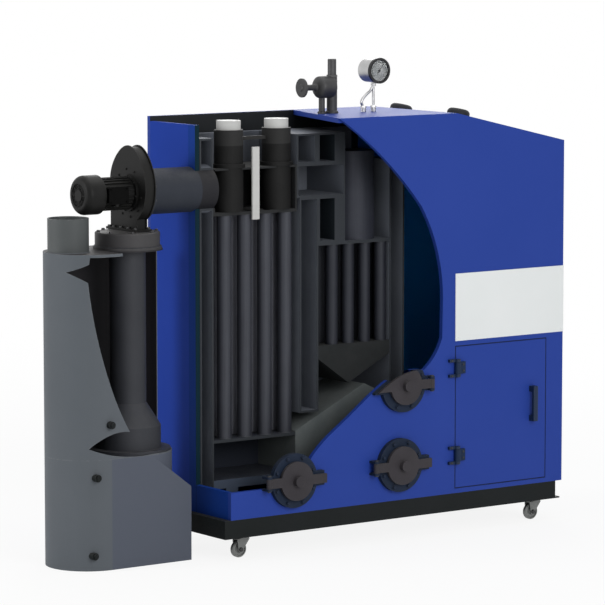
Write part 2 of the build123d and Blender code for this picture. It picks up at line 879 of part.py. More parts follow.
def collector_cut():
    # The near wall is taken out right of a falling curve, with a pointed notch above and a slot below.
    x1 = inner_pipe_x + 2 * collector_radius
    foot = ash_box_top + collector_wall
    top = collector_height - cut_drop
    tower = collector_height - ash_box_top
    notch_line = [(x, collector_height - drop) for x, drop in notch]
    fall = [(x, ash_box_top + share * tower) for x, share in fall_line]
    crest, tip, trough = [(x, ash_box_top + rise) for x, rise in (slot_crest, slot_tip, slot_trough)]
    heel = (slot_heel_x, foot_flare_level)
    edges = [
        Polyline((x1, foot), (x1, top), (cut_start_x, top), *notch_line),
        Spline(notch_line[-1], *fall, heel),
        ThreePointArc(heel, crest, tip),
        ThreePointArc(tip, trough, (inner_pipe_x, foot)),
        Line((inner_pipe_x, foot), (x1, foot))]
    wall = side_prism(make_face(Curve() + edges), middle - 2 * collector_radius, middle + cut_depth)
    # The top plate stays whole only under its lid.
    near = middle - 2 * collector_radius
    plate = block(plate_cut_x, x1, near, middle + cut_depth, top, collector_height + 1)
    kept = post(inner_pipe_x, middle, top - 1, collector_height + 2, lid_rim + 2 * plate_margin)
    return wall + (plate - kept)


def collector_shell():
    # Tower on the ash box, open at its foot and closed by a top plate.
    shell = extrude(Pos(0, 0, ash_box_top) * obround(0), collector_height - ash_box_top)
    shell -= extrude(Pos(0, 0, ash_box_top - 1) * obround(collector_wall),
                     collector_height - ash_box_top - collector_wall + 1)
    top = collector_height + 1
    low = collector_height - 2 * collector_wall
    shell -= post(inner_pipe_x, middle, low, top, inner_pipe_diameter + 2 * running_gap)
    shell -= post(stub_x, middle, low, top, stub_diameter - 2 * stub_wall)
    return shell - collector_cut()


def collector_lid():
    z0 = collector_height
    lid = post(inner_pipe_x, middle, z0, z0 + lid_height, lid_diameter)
    lid = fillet(lid.edges().group_by(Axis.Z)[-1], lid_rounding)
    lid += post(inner_pipe_x, middle, z0, z0 + lid_rim_height, lid_rim)
    bore = inner_pipe_diameter + 2 * running_gap
    return lid - post(inner_pipe_x, middle, z0 - 1, z0 + lid_height - sheet, bore)


def inner_pipe():
    z1 = collector_height + lid_height - sheet - running_gap
    low = foot_flare_level
    pipe = post(inner_pipe_x, middle, low + foot_flare_height, z1, inner_pipe_diameter)
    cone = Cone(foot_flare / 2, inner_pipe_diameter / 2, foot_flare_height)
    flare = Pos(inner_pipe_x, middle, low + foot_flare_height / 2) * cone
    stem = post(inner_pipe_x, middle, ash_box_top + ash_flange_depth, low, foot_flare)
    return pipe + flare + stem


def ash_flange():
    diameter = 2 * (collector_radius - collector_wall - running_gap)
    return post(inner_pipe_x, middle, ash_box_top, ash_box_top + ash_flange_depth, diameter)


def side_clips():
    # Turned clips on the collector's near side; each one's back follows the round wall.
    pieces = []
    for x, z in clips:
        offset = collector_round_x - x
        wall_y = middle - math.sqrt(collector_radius ** 2 - max(offset, 0) ** 2)
        clip = rod_y(x, wall_y - clip_depth, middle, z, clip_diameter)
        clip += rod_y(x, wall_y - clip_depth - clip_knob_depth, wall_y - clip_depth, z, clip_knob)
        pieces.append(clip - extrude(obround(0), collector_height))
    return pieces


def chimney_stub():
    z0 = collector_height
    return tube(stub_x, middle, z0, z0 + stub_height, stub_diameter)


def cone_x(x0, x1, y, z, diameter0, diameter1):
    cone = Cone(diameter0 / 2, diameter1 / 2, x1 - x0)
    return Pos((x0 + x1) / 2, y, z) * Rot(0, 90, 0) * cone


def safety_valve():
    # Cast body on two legs, with a tall stem, and a necked disc towards the rear.
    z0 = casing_top
    level = z0 + valve_body_level
    x1 = valve_x + valve_body_overhang
    x0 = x1 - valve_body_length
    body = rod_x(x0, x1, middle, level, valve_body)
    body += cone_x(x0 - valve_nose_length, x0, middle, level, valve_neck, valve_body)
    neck_end = x0 - valve_nose_length - valve_neck_length
    body += rod_x(neck_end, x0, middle, level, valve_neck)
    body += rod_x(neck_end - valve_disc_depth, neck_end, middle, level, valve_disc)
    body += post(valve_x, middle, z0, z0 + valve_stem_top, valve_stem)
    body += post(valve_x - valve_leg_spacing, middle, z0, level, valve_leg)
    for x in (valve_x, valve_x - valve_leg_spacing):
        body += post(x, middle, z0, z0 + valve_foot_height, valve_foot)
    return body


def siphon():
    # Bent pipe that leaves its foot, bulges to the rear and rises to the gauge, beside a straight leg.
    top = gauge_level - gauge_diameter / 2
    foot = gauge_x - siphon_foot_reach
    low = casing_top + siphon_socket_height / 2
    high = top - siphon_socket_height / 2
    bulge = (gauge_x - siphon_reach, casing_top + siphon_bulge_level)
    rise = (gauge_x - siphon_reach / 2, (bulge[1] + high) / 2)
    line = Spline((foot, low), bulge, rise, (gauge_x, high),
                  tangents=((0, 1), (siphon_end_lean, 1)))
    start = Plane(origin=(foot, middle, low), z_dir=(0, 0, 1))
    pipe = post(gauge_x, middle, casing_top, top, siphon_pipe)
    pipe += sweep(start * Circle(siphon_pipe / 2), path=side_plane(middle) * line)
    collar = siphon_socket_height
    pipe += post(gauge_x, middle, top - collar, top + collar / 4, siphon_socket)
    for x in (foot, gauge_x):
        pipe += post(x, middle, casing_top, casing_top + siphon_socket_height, siphon_socket)
    return pipe


def pressure_gauge():
    # Deep round case with a bezel; its dial is sunk behind the bezel and faces the near side.
    y0 = middle - gauge_depth / 2
    case = rod_y(gauge_x, y0, y0 + gauge_depth, gauge_level, gauge_diameter)
    case = fillet(case.edges().group_by(Axis.Y)[-1], gauge_rounding)
    case += rod_y(gauge_x, y0, y0 + gauge_bezel_depth, gauge_level, gauge_bezel)
    case -= rod_y(gauge_x, y0 - 1, y0 + gauge_dial_recess, gauge_level, gauge_dial)
    return case + siphon()


def roof_knobs():
    knobs = []
    x = top_length + knob_setback
    z = casing_top - knob_setback * math.tan(math.radians(slope_angle))
    for y in (knob_side_inset, casing_width - knob_side_inset):
        dome = Cylinder(knob_diameter / 2, knob_height)
        dome = fillet(dome.edges().group_by(Axis.Z)[-1], knob_rounding)
        knobs.append(Pos(x, y, z) * Rot(0, slope_angle, 0) * Pos(0, 0, knob_height / 2) * dome)
    return knobs


def write_parts():
    save("base_frame", base_frame())
    corners = ("near_rear", "near_front", "far_rear", "far_front")
    for corner, (x, y) in zip(corners, castor_places()):
        save(f"castor_fork_{corner}", castor_fork(x, y))
        save(f"castor_wheel_{corner}", castor_wheel(x, y))
    save("near_panel", near_panel())
    save("far_panel", far_panel())
    save("rear_panel", rear_panel())
    save("roof_panel", roof_panel())
    save("slope_panel", slope_panel())
    save("front_panel", front_panel())
    save("floor_panel", floor_panel())
    save("bare_plate", bare_plate())
    save("side_door", side_door())
    save("door_hinges", *door_hinges())
    save("door_handle", door_handle())
    save("hatch_frames", *hatch_pieces(hatch_frame))
    for number, door in enumerate(hatch_pieces(hatch_door), 1):
        save(f"hatch_door_{number}", door)
    save("rear_water_wall", rear_water_wall())
    save("middle_water_wall", middle_water_wall())
    save("front_water_wall", front_water_wall())
    save("far_water_wall", far_water_wall())
    save("vessel_floor", vessel_floor())
    save("lower_tube_plate", bored_plate(slope_foot[0], lower_tube_plate - tube_plate))
    save("first_pass_tubes", *first_bank())
    save("second_pass_tubes", *second_bank())
    save("smoke_box", smoke_box())
    save("cleaning_cylinders", cleaning_cylinders())
    save("cylinder_caps", *cylinder_caps())
    save("cleaning_bar", cleaning_bar())
    save("gas_passage", gas_passage())
    save("turning_drum", turning_drum())
    save("fire_roof", fire_roof())
    save("ash_slope", ash_slope())
    save("exhaust_duct", exhaust_duct())
    save("duct_collar", duct_collar())
    save("fan_scroll", fan_scroll())
    save("fan_outlet", fan_outlet())
    save("fan_motor", fan_motor())
    save("terminal_box", terminal_box())
    save("ash_box", ash_box())
    save("collector_shell", collector_shell())
    save("collector_lid", collector_lid())
    save("inner_pipe", inner_pipe())
    save("ash_flange", ash_flange())
    save("side_clips", *side_clips())
    save("chimney_stub", chimney_stub())
    save("safety_valve", safety_valve())
    save("pressure_gauge", pressure_gauge())
    save("roof_knobs", *roof_knobs())


write_parts()
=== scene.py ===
import bpy
import bmesh
import math
from mathutils import Matrix, Vector


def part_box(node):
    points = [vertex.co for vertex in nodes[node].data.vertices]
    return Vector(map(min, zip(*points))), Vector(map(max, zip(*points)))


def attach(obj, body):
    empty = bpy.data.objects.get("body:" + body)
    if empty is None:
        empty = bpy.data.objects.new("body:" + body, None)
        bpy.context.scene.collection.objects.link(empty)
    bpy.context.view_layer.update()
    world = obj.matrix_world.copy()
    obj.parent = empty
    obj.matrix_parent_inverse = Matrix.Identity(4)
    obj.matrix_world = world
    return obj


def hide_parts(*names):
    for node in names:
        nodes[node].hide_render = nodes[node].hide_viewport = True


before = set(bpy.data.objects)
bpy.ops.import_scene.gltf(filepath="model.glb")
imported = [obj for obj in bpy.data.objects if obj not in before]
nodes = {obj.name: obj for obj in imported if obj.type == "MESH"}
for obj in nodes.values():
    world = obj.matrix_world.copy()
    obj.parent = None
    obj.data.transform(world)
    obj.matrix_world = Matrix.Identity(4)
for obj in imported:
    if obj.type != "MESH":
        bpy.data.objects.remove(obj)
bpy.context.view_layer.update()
corner = Vector((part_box("rear_panel")[0].x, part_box("near_panel")[0].y, 0))
middleY = 300  # the middle plane of casing, fan and collector
print("frame loaded")


def at(x, y, z):  # a place on the casing in millimetres: from its rear, from its near side, from the floor
    return corner + Vector((x, y, z)) / 1000


# shader nodes in short

def addNode(tree, kind, **settings):
    node = tree.nodes.new(kind)
    for key, value in settings.items():
        setattr(node, key, value)
    return node


def feed(tree, socket, value):  # links an output to the socket, or sets a fixed value
    if hasattr(value, "links"):
        tree.links.new(value, socket)
    else:
        socket.default_value = value


def mathNode(tree, operation, a, b=None, clamp=False):
    node = addNode(tree, "ShaderNodeMath", operation=operation, use_clamp=clamp)
    feed(tree, node.inputs[0], a)
    if b is not None:
        feed(tree, node.inputs[1], b)
    return node.outputs[0]


def mapRange(tree, value, source, target):
    node = addNode(tree, "ShaderNodeMapRange")
    tree.links.new(value, node.inputs["Value"])
    for key, number in zip(("From Min", "From Max", "To Min", "To Max"), (*source, *target)):
        node.inputs[key].default_value = number
    return node.outputs["Result"]


def lightNode(tree, kind, strength):  # white background or glow
    node = addNode(tree, kind)
    node.inputs["Color"].default_value = (1, 1, 1, 1)
    node.inputs["Strength"].default_value = strength
    return node


def mixShaders(tree, share, a, b, out):
    mix = addNode(tree, "ShaderNodeMixShader")
    for socket, source in zip(mix.inputs, (share, a.outputs[0], b.outputs[0])):
        tree.links.new(source, socket)
    tree.links.new(mix.outputs[0], out.inputs["Surface"])


def seenRay(tree):  # 1 where the camera, a reflection or a glass looks
    path = addNode(tree, "ShaderNodeLightPath")
    first = mathNode(tree, "MAXIMUM", path.outputs["Is Camera Ray"], path.outputs["Is Glossy Ray"])
    return mathNode(tree, "MAXIMUM", first, path.outputs["Is Transmission Ray"])


# camera, floor and light

view = {"azimuth": -35.7, "elevation": 6.5776, "distance": 14.8975, "target": (0.0375, 0.0315, 0.9841),
        "lens": 213.2, "sensor": 36, "clipEnd": 200}
floorLook = {"size": 60, "colour": (0.93, 0.94, 0.94, 1), "glow": 0.88, "fadeStart": 2.4, "fadeEnd": 7.0}
light = {"aim": (0, 0, 0.9), "ambient": 0.34, "lamps": [  # name, where it stands, width, power
    ("keyLamp", (-0.6, -6.6, 3.2), 3.4, 215),
    ("sideLamp", (-6.2, 2.0, 2.6), 1.8, 140),
    ("topLamp", (0.6, 0.4, 6.2), 4.4, 90),
    ("farLamp", (4.6, 5.4, 3.4), 3.6, 150)]}


def makeCamera():
    turn = math.radians(view["azimuth"])
    rise = math.radians(view["elevation"])
    target = Vector(view["target"])
    away = Vector((math.sin(turn) * math.cos(rise), -math.cos(turn) * math.cos(rise), math.sin(rise)))
    bpy.ops.object.camera_add(location=target + away * view["distance"])
    camera = bpy.context.object
    camera.name = "studioCamera"
    camera.rotation_euler = (-away).to_track_quat("-Z", "Y").to_euler()
    camera.data.lens = view["lens"]
    camera.data.sensor_width = view["sensor"]
    camera.data.clip_end = view["clipEnd"]
    bpy.context.scene.camera = camera


def makeLamps():
    for name, place, width, power in light["lamps"]:
        bpy.ops.object.light_add(type="AREA", location=place)
        lamp = bpy.context.object
        lamp.name = name
        lamp.data.size = width
        lamp.data.energy = power
        lamp.rotation_euler = (Vector(light["aim"]) - Vector(place)).to_track_quat("-Z", "Y").to_euler()


def makeWorld():  # dim for the light, white for the eye
    world = bpy.data.worlds.new("studio")
    bpy.context.scene.world = world
    world.use_nodes = True
    tree = world.node_tree
    tree.nodes.clear()
    plain = lightNode(tree, "ShaderNodeBackground", light["ambient"])
    white = lightNode(tree, "ShaderNodeBackground", 1)
    mixShaders(tree, seenRay(tree), plain, white, addNode(tree, "ShaderNodeOutputWorld"))


def makeFloor():  # pale floor that fades into the white
    bpy.ops.mesh.primitive_plane_add(size=floorLook["size"], location=(0, 0, 0))
    floor = bpy.context.object
    floor.name = "studioFloor"
    look = bpy.data.materials.new("floorPale")
    look.use_nodes = True
    tree = look.node_tree
    tree.nodes.clear()
    paint = addNode(tree, "ShaderNodeBsdfDiffuse")
    paint.inputs["Color"].default_value = floorLook["colour"]
    glow = lightNode(tree, "ShaderNodeEmission", 1)
    place = addNode(tree, "ShaderNodeTexCoord")
    far = addNode(tree, "ShaderNodeVectorMath", operation="LENGTH")
    tree.links.new(place.outputs["Object"], far.inputs[0])
    fade = mapRange(tree, far.outputs["Value"], (floorLook["fadeStart"], floorLook["fadeEnd"]),
                    (floorLook["glow"], 1))
    share = mathNode(tree, "MULTIPLY", fade, seenRay(tree))
    mixShaders(tree, share, paint, glow, addNode(tree, "ShaderNodeOutputMaterial"))
    floor.data.materials.append(look)


makeCamera()
makeLamps()
makeWorld()
makeFloor()
bpy.context.scene.view_settings.view_transform = "Standard"
print("camera, floor and light set")


# shader node groups that several finishes share

wearLook = {"samples": 4, "sharpen": 6, "chipsFrom": 0.42}
dustLook = {"upFrom": 0.25, "upRise": 1.4, "cloudFrom": 0.3, "cloudRise": 2.2}


def newGroup(name, inputs, outputs=("Mask",)):
    group = bpy.data.node_groups.new(name, "ShaderNodeTree")
    for label, value in inputs.items():
        socket = group.interface.new_socket(name=label, in_out="INPUT", socket_type="NodeSocketFloat")
        socket.default_value = value
    for label in outputs:
        group.interface.new_socket(name=label, in_out="OUTPUT", socket_type="NodeSocketFloat")
    return group, addNode(group, "NodeGroupInput"), addNode(group, "NodeGroupOutput")


def noiseNode(tree, scale, detail, rough, vector=None):
    node = addNode(tree, "ShaderNodeTexNoise")
    node.inputs["Detail"].default_value = detail
    node.inputs["Roughness"].default_value = rough
    feed(tree, node.inputs["Scale"], scale)
    if vector is None:
        vector = addNode(tree, "ShaderNodeTexCoord").outputs["Object"]
    tree.links.new(vector, node.inputs["Vector"])
    return node.outputs["Fac"]


def lifted(tree, value, low, times):  # 0 up to a low mark, then rising to 1
    return mathNode(tree, "MULTIPLY", mathNode(tree, "SUBTRACT", value, low), times, True)


def allThree(tree, a, b, c):
    return mathNode(tree, "MULTIPLY", mathNode(tree, "MULTIPLY", a, b), c, True)


def placeAxes(tree):  # the outputs X, Y and Z of a spot's place
    split = addNode(tree, "ShaderNodeSeparateXYZ")
    tree.links.new(addNode(tree, "ShaderNodeTexCoord").outputs["Object"], split.inputs[0])
    return split.outputs


def makeEdgeWear():  # mask that is 1 on rubbed edges, broken up by noise
    group, start, end = newGroup("edgeWear", {"Width": 0.004, "Amount": 1, "Break": 60})
    bevel = addNode(group, "ShaderNodeBevel", samples=wearLook["samples"])
    group.links.new(start.outputs["Width"], bevel.inputs["Radius"])
    flat = addNode(group, "ShaderNodeNewGeometry")
    dot = addNode(group, "ShaderNodeVectorMath", operation="DOT_PRODUCT")
    group.links.new(bevel.outputs[0], dot.inputs[0])
    group.links.new(flat.outputs["Normal"], dot.inputs[1])
    bend = mathNode(group, "SUBTRACT", 1, dot.outputs["Value"])
    sharp = mathNode(group, "MULTIPLY", bend, wearLook["sharpen"], True)
    chips = noiseNode(group, start.outputs["Break"], detail=5, rough=0.6)
    chips = lifted(group, chips, wearLook["chipsFrom"], wearLook["sharpen"])
    group.links.new(allThree(group, sharp, chips, start.outputs["Amount"]), end.inputs["Mask"])
    return group


def makeMottle():  # slow colour drift and fine grain
    group, start, end = newGroup("mottle", {"Coarse": 3, "Fine": 90}, ("Drift", "Grain"))
    group.links.new(noiseNode(group, start.outputs["Coarse"], detail=4, rough=0.6), end.inputs["Drift"])
    group.links.new(noiseNode(group, start.outputs["Fine"], detail=6, rough=0.65), end.inputs["Grain"])
    return group


def makeDust():  # mask that gathers on faces that look up
    group, start, end = newGroup("dust", {"Amount": 0.5, "Scale": 14})
    split = addNode(group, "ShaderNodeSeparateXYZ")
    group.links.new(addNode(group, "ShaderNodeNewGeometry").outputs["Normal"], split.inputs[0])
    level = lifted(group, split.outputs["Z"], dustLook["upFrom"], dustLook["upRise"])
    cloud = noiseNode(group, start.outputs["Scale"], detail=6, rough=0.62)
    cloud = lifted(group, cloud, dustLook["cloudFrom"], dustLook["cloudRise"])
    group.links.new(allThree(group, level, cloud, start.outputs["Amount"]), end.inputs["Mask"])
    return group


def makeStreaks():  # lengthwise marks of rolled or drawn metal
    group, start, end = newGroup("streaks", {"Across": 140, "Along": 3})
    place = placeAxes(group)
    join = addNode(group, "ShaderNodeCombineXYZ")
    for axis, size in (("X", "Across"), ("Y", "Across"), ("Z", "Along")):
        group.links.new(mathNode(group, "MULTIPLY", place[axis], start.outputs[size]), join.inputs[axis])
    lines = noiseNode(group, 1, detail=3, rough=0.5, vector=join.outputs[0])
    group.links.new(lines, end.inputs["Mask"])
    return group


def makeFurther(name, kind, limit):  # 1 where a coordinate goes further along a way than the limit
    group, start, end = newGroup(name, {"X": 0, "Y": 0, "Z": 0, "Limit": limit})
    way = addNode(group, "ShaderNodeCombineXYZ")
    for axis in "XYZ":
        group.links.new(start.outputs[axis], way.inputs[axis])
    dot = addNode(group, "ShaderNodeVectorMath", operation="DOT_PRODUCT")
    group.links.new(addNode(group, "ShaderNodeTexCoord").outputs[kind], dot.inputs[0])
    group.links.new(way.outputs[0], dot.inputs[1])
    mask = mathNode(group, "GREATER_THAN", dot.outputs["Value"], start.outputs["Limit"])
    group.links.new(mask, end.inputs["Mask"])
    return group


def makeCutFace():  # 1 on the cut edges that lie in the plane of the section
    group, start, end = newGroup("cutFace", {"Plane": 0, "Depth": 0.001})
    ahead = mathNode(group, "SUBTRACT", placeAxes(group)["Y"], start.outputs["Plane"])
    near = mathNode(group, "LESS_THAN", mathNode(group, "ABSOLUTE", ahead), start.outputs["Depth"])
    group.links.new(near, end.inputs["Mask"])
    return group


def makeInsideRound():  # 1 within a radius of a level line along X, seen from above
    group, start, end = newGroup("insideRound", {"Low": 0, "High": 1, "Y": 0, "Radius": 0.1})
    place = placeAxes(group)
    nearest = mathNode(group, "MAXIMUM", place["X"], start.outputs["Low"])
    nearest = mathNode(group, "MINIMUM", nearest, start.outputs["High"])
    dx = mathNode(group, "SUBTRACT", place["X"], nearest)
    dy = mathNode(group, "SUBTRACT", place["Y"], start.outputs["Y"])
    squares = [mathNode(group, "MULTIPLY", d, d) for d in (dx, dy)]
    away = mathNode(group, "SQRT", mathNode(group, "ADD", *squares))
    inside = mathNode(group, "LESS_THAN", away, start.outputs["Radius"])
    group.links.new(inside, end.inputs["Mask"])
    return group


edgeWear = makeEdgeWear()
behind = makeFurther("behind", "Normal", 0.5)  # on what faces a way
past = makeFurther("past", "Object", 0)  # on what lies past a plane
cutFace = makeCutFace()
insideRound = makeInsideRound()
mottle = makeMottle()
dust = makeDust()
streaks = makeStreaks()


# how a finish is made

driftRange = (0.3, 0.7)  # the noise seldom leaves these
dustColour = (0.34, 0.33, 0.31)
# near black for the collector's hollow: soot and painted shade
sootShadeColour = (0.012, 0.011, 0.014)
streakLook = {"times": 1.7, "plus": 0.02, "height": 0.6}
section = {"plane": at(0, 250, 0).y, "depth": 0.0012}


def mixColour(tree, share, a, b):
    node = addNode(tree, "ShaderNodeMix", data_type="RGBA")
    for socket, value in ((node.inputs[6], a), (node.inputs[7], b)):
        feed(tree, socket, value if hasattr(value, "links") else (*value, 1))
    tree.links.new(share, node.inputs[0])
    return node.outputs[2]


def useGroup(tree, group, **values):
    node = addNode(tree, "ShaderNodeGroup", node_tree=group)
    for key, value in values.items():
        node.inputs[key].default_value = value
    return node


def useWay(tree, group, way, **values):
    return useGroup(tree, group, X=way[0], Y=way[1], Z=way[2], **values).outputs["Mask"]


def zone(way, start, tint):  # a colour for what lies past a place, along a way
    return way, Vector(way).dot(start), tint


def tintZones(tree, shade, zones):
    for way, limit, tint in zones:
        shade = mixColour(tree, useWay(tree, past, way, Limit=limit), shade, tint)
    return shade


def finish(name, colour, drift, rough=(0.4, 0.55), metal=0.0, specular=0.5,
           worn=None, wear=0.4, wearWidth=0.004, dusty=0.0, streak=0.0,
           coarse=3, fine=90, bump=0.05, bumpReach=0.0004,
           zones=(), inner=None, innerShading=(0.012, 0.014, 0.016), innerZones=(), cutEdge=None, sootShade=None):
    look = bpy.data.materials.new(name)
    look.use_nodes = True
    tree = look.node_tree
    shader = tree.nodes["Principled BSDF"]
    base = useGroup(tree, mottle, Coarse=coarse, Fine=fine)
    shade = mixColour(tree, mapRange(tree, base.outputs["Drift"], driftRange, (0, 1)), colour, drift)
    height = base.outputs["Grain"]
    if streak:
        marks = useGroup(tree, streaks).outputs["Mask"]
        paler = [min(1, c * streakLook["times"] + streakLook["plus"]) for c in colour]
        shade = mixColour(tree, mapRange(tree, marks, driftRange, (0, streak)), shade, paler)
        height = mathNode(tree, "ADD", height, mathNode(tree, "MULTIPLY", marks, streakLook["height"]))
    if worn:
        rub = useGroup(tree, edgeWear, Width=wearWidth, Amount=wear)
        shade = mixColour(tree, rub.outputs["Mask"], shade, worn)
    shade = tintZones(tree, shade, zones)
    if cutEdge:
        bare = useGroup(tree, cutFace, Plane=section["plane"], Depth=section["depth"])
        shade = mixColour(tree, bare.outputs["Mask"], shade, cutEdge)
    # faces that look the inner way take the inner shading: painted shade on the casing panels' inside,
    # painted light on the gas passage's faces that look to the rear
    if inner:
        shade = mixColour(tree, useWay(tree, behind, inner), shade, tintZones(tree, innerShading, innerZones))
    # soot and painted shade: the collector's hollow is made near black
    if sootShade:
        dark = useGroup(tree, insideRound, **sootShade)
        shade = mixColour(tree, dark.outputs["Mask"], shade, sootShadeColour)
    if dusty:
        film = useGroup(tree, dust, Amount=dusty)
        shade = mixColour(tree, film.outputs["Mask"], shade, dustColour)
    tree.links.new(shade, shader.inputs["Base Color"])
    tree.links.new(mapRange(tree, base.outputs["Grain"], driftRange, rough), shader.inputs["Roughness"])
    shader.inputs["Metallic"].default_value = metal
    shader.inputs["Specular IOR Level"].default_value = specular
    lift = addNode(tree, "ShaderNodeBump")
    lift.inputs["Strength"].default_value = bump
    lift.inputs["Distance"].default_value = bumpReach
    tree.links.new(height, lift.inputs["Height"])
    tree.links.new(lift.outputs[0], shader.inputs["Normal"])
    return look


# the finishes

toFront, toRear = (1, 0, 0), (-1, 0, 0)
toNear, toFar = (0, -1, 0), (0, 1, 0)
up, down = (0, 0, 1), (0, 0, -1)

# painted light: a paler grey for the gas passage's faces that look to the rear
passageLitGrey = (0.12, 0.132, 0.158)
# painted light: the tubes behind the first row are paler, to lift the shade between the tubes
backRowsPaintedLight = zone(toFar, at(0, 328, 0), (0.15, 0.155, 0.185))  # the tubes behind the first row
ashRoom = zone(down, at(0, 0, 452), (0.018, 0.022, 0.034))  # darker under the tubes
# painted shade in the deep folds of the passage, then the painted light grey again past them
passageShadeBands = [zone(toFront, at(650, 0, 0), (0.012, 0.017, 0.022)),  # the deep folds
                 zone(toFront, at(720, 0, 0), passageLitGrey)]
# painted light and shade: the cleaners are paler above 1655 mm and darker below, as a cast shadow leaves
# them
cleanerTopsPaintedLight = zone(up, at(0, 0, 1655), (0.026, 0.026, 0.026))
# painted shade: the duct is darker where it runs inside the casing
ductInsideShade = zone(toFront, at(8, 0, 0), (0.007, 0.007, 0.01))
bezel = zone(toNear, at(0, 267, 0), (0.035, 0.035, 0.037))  # the gauge's dark front ring
# painted shade: the ash box's flat side is darker and bluer than its round side
flatAshSideShade = zone(toFront, at(-486, 0, 0), (0.079, 0.09, 0.118))  # before the ash box's crease
shadedSide = zone(toNear, at(0, middleY, 0), (0.008, 0.045, 0.27))  # in the collector's shade
hingeBarrels = zone(toNear, at(0, -1, 0), (0.006, 0.018, 0.05))
# soot and painted shade inside the collector's hollow
collectorSootShade = {"Low": at(-487, 0, 0).x, "High": at(-295, 0, 0).x, "Y": at(0, middleY, 0).y,
                 "Radius": 0.1722}  # the collector's hollow

vessel = dict(colour=(0.105, 0.117, 0.141), drift=(0.14, 0.152, 0.178), rough=(0.55, 0.72),
              worn=(0.1, 0.105, 0.12), wearWidth=0.003, dusty=0.1, coarse=5, fine=120, bump=0.2,
              streak=0.15, specular=0.25, cutEdge=(0.026, 0.03, 0.036))
brick = dict(rough=(0.72, 0.9), coarse=9, fine=240, bump=0.5, bumpReach=0.0012, specular=0.2)
tube = dict(coarse=6, fine=150, bump=0.12)
collectorPaint = dict(colour=(0.086, 0.098, 0.112), drift=(0.097, 0.109, 0.124), rough=(0.55, 0.7),
                      wear=0.5, dusty=0.15, coarse=2.4, fine=260, bump=0.1, specular=0.3)
casingPaint = dict(worn=(0.03, 0.07, 0.34), wearWidth=0.003, coarse=1.6, fine=420, bump=0.1)

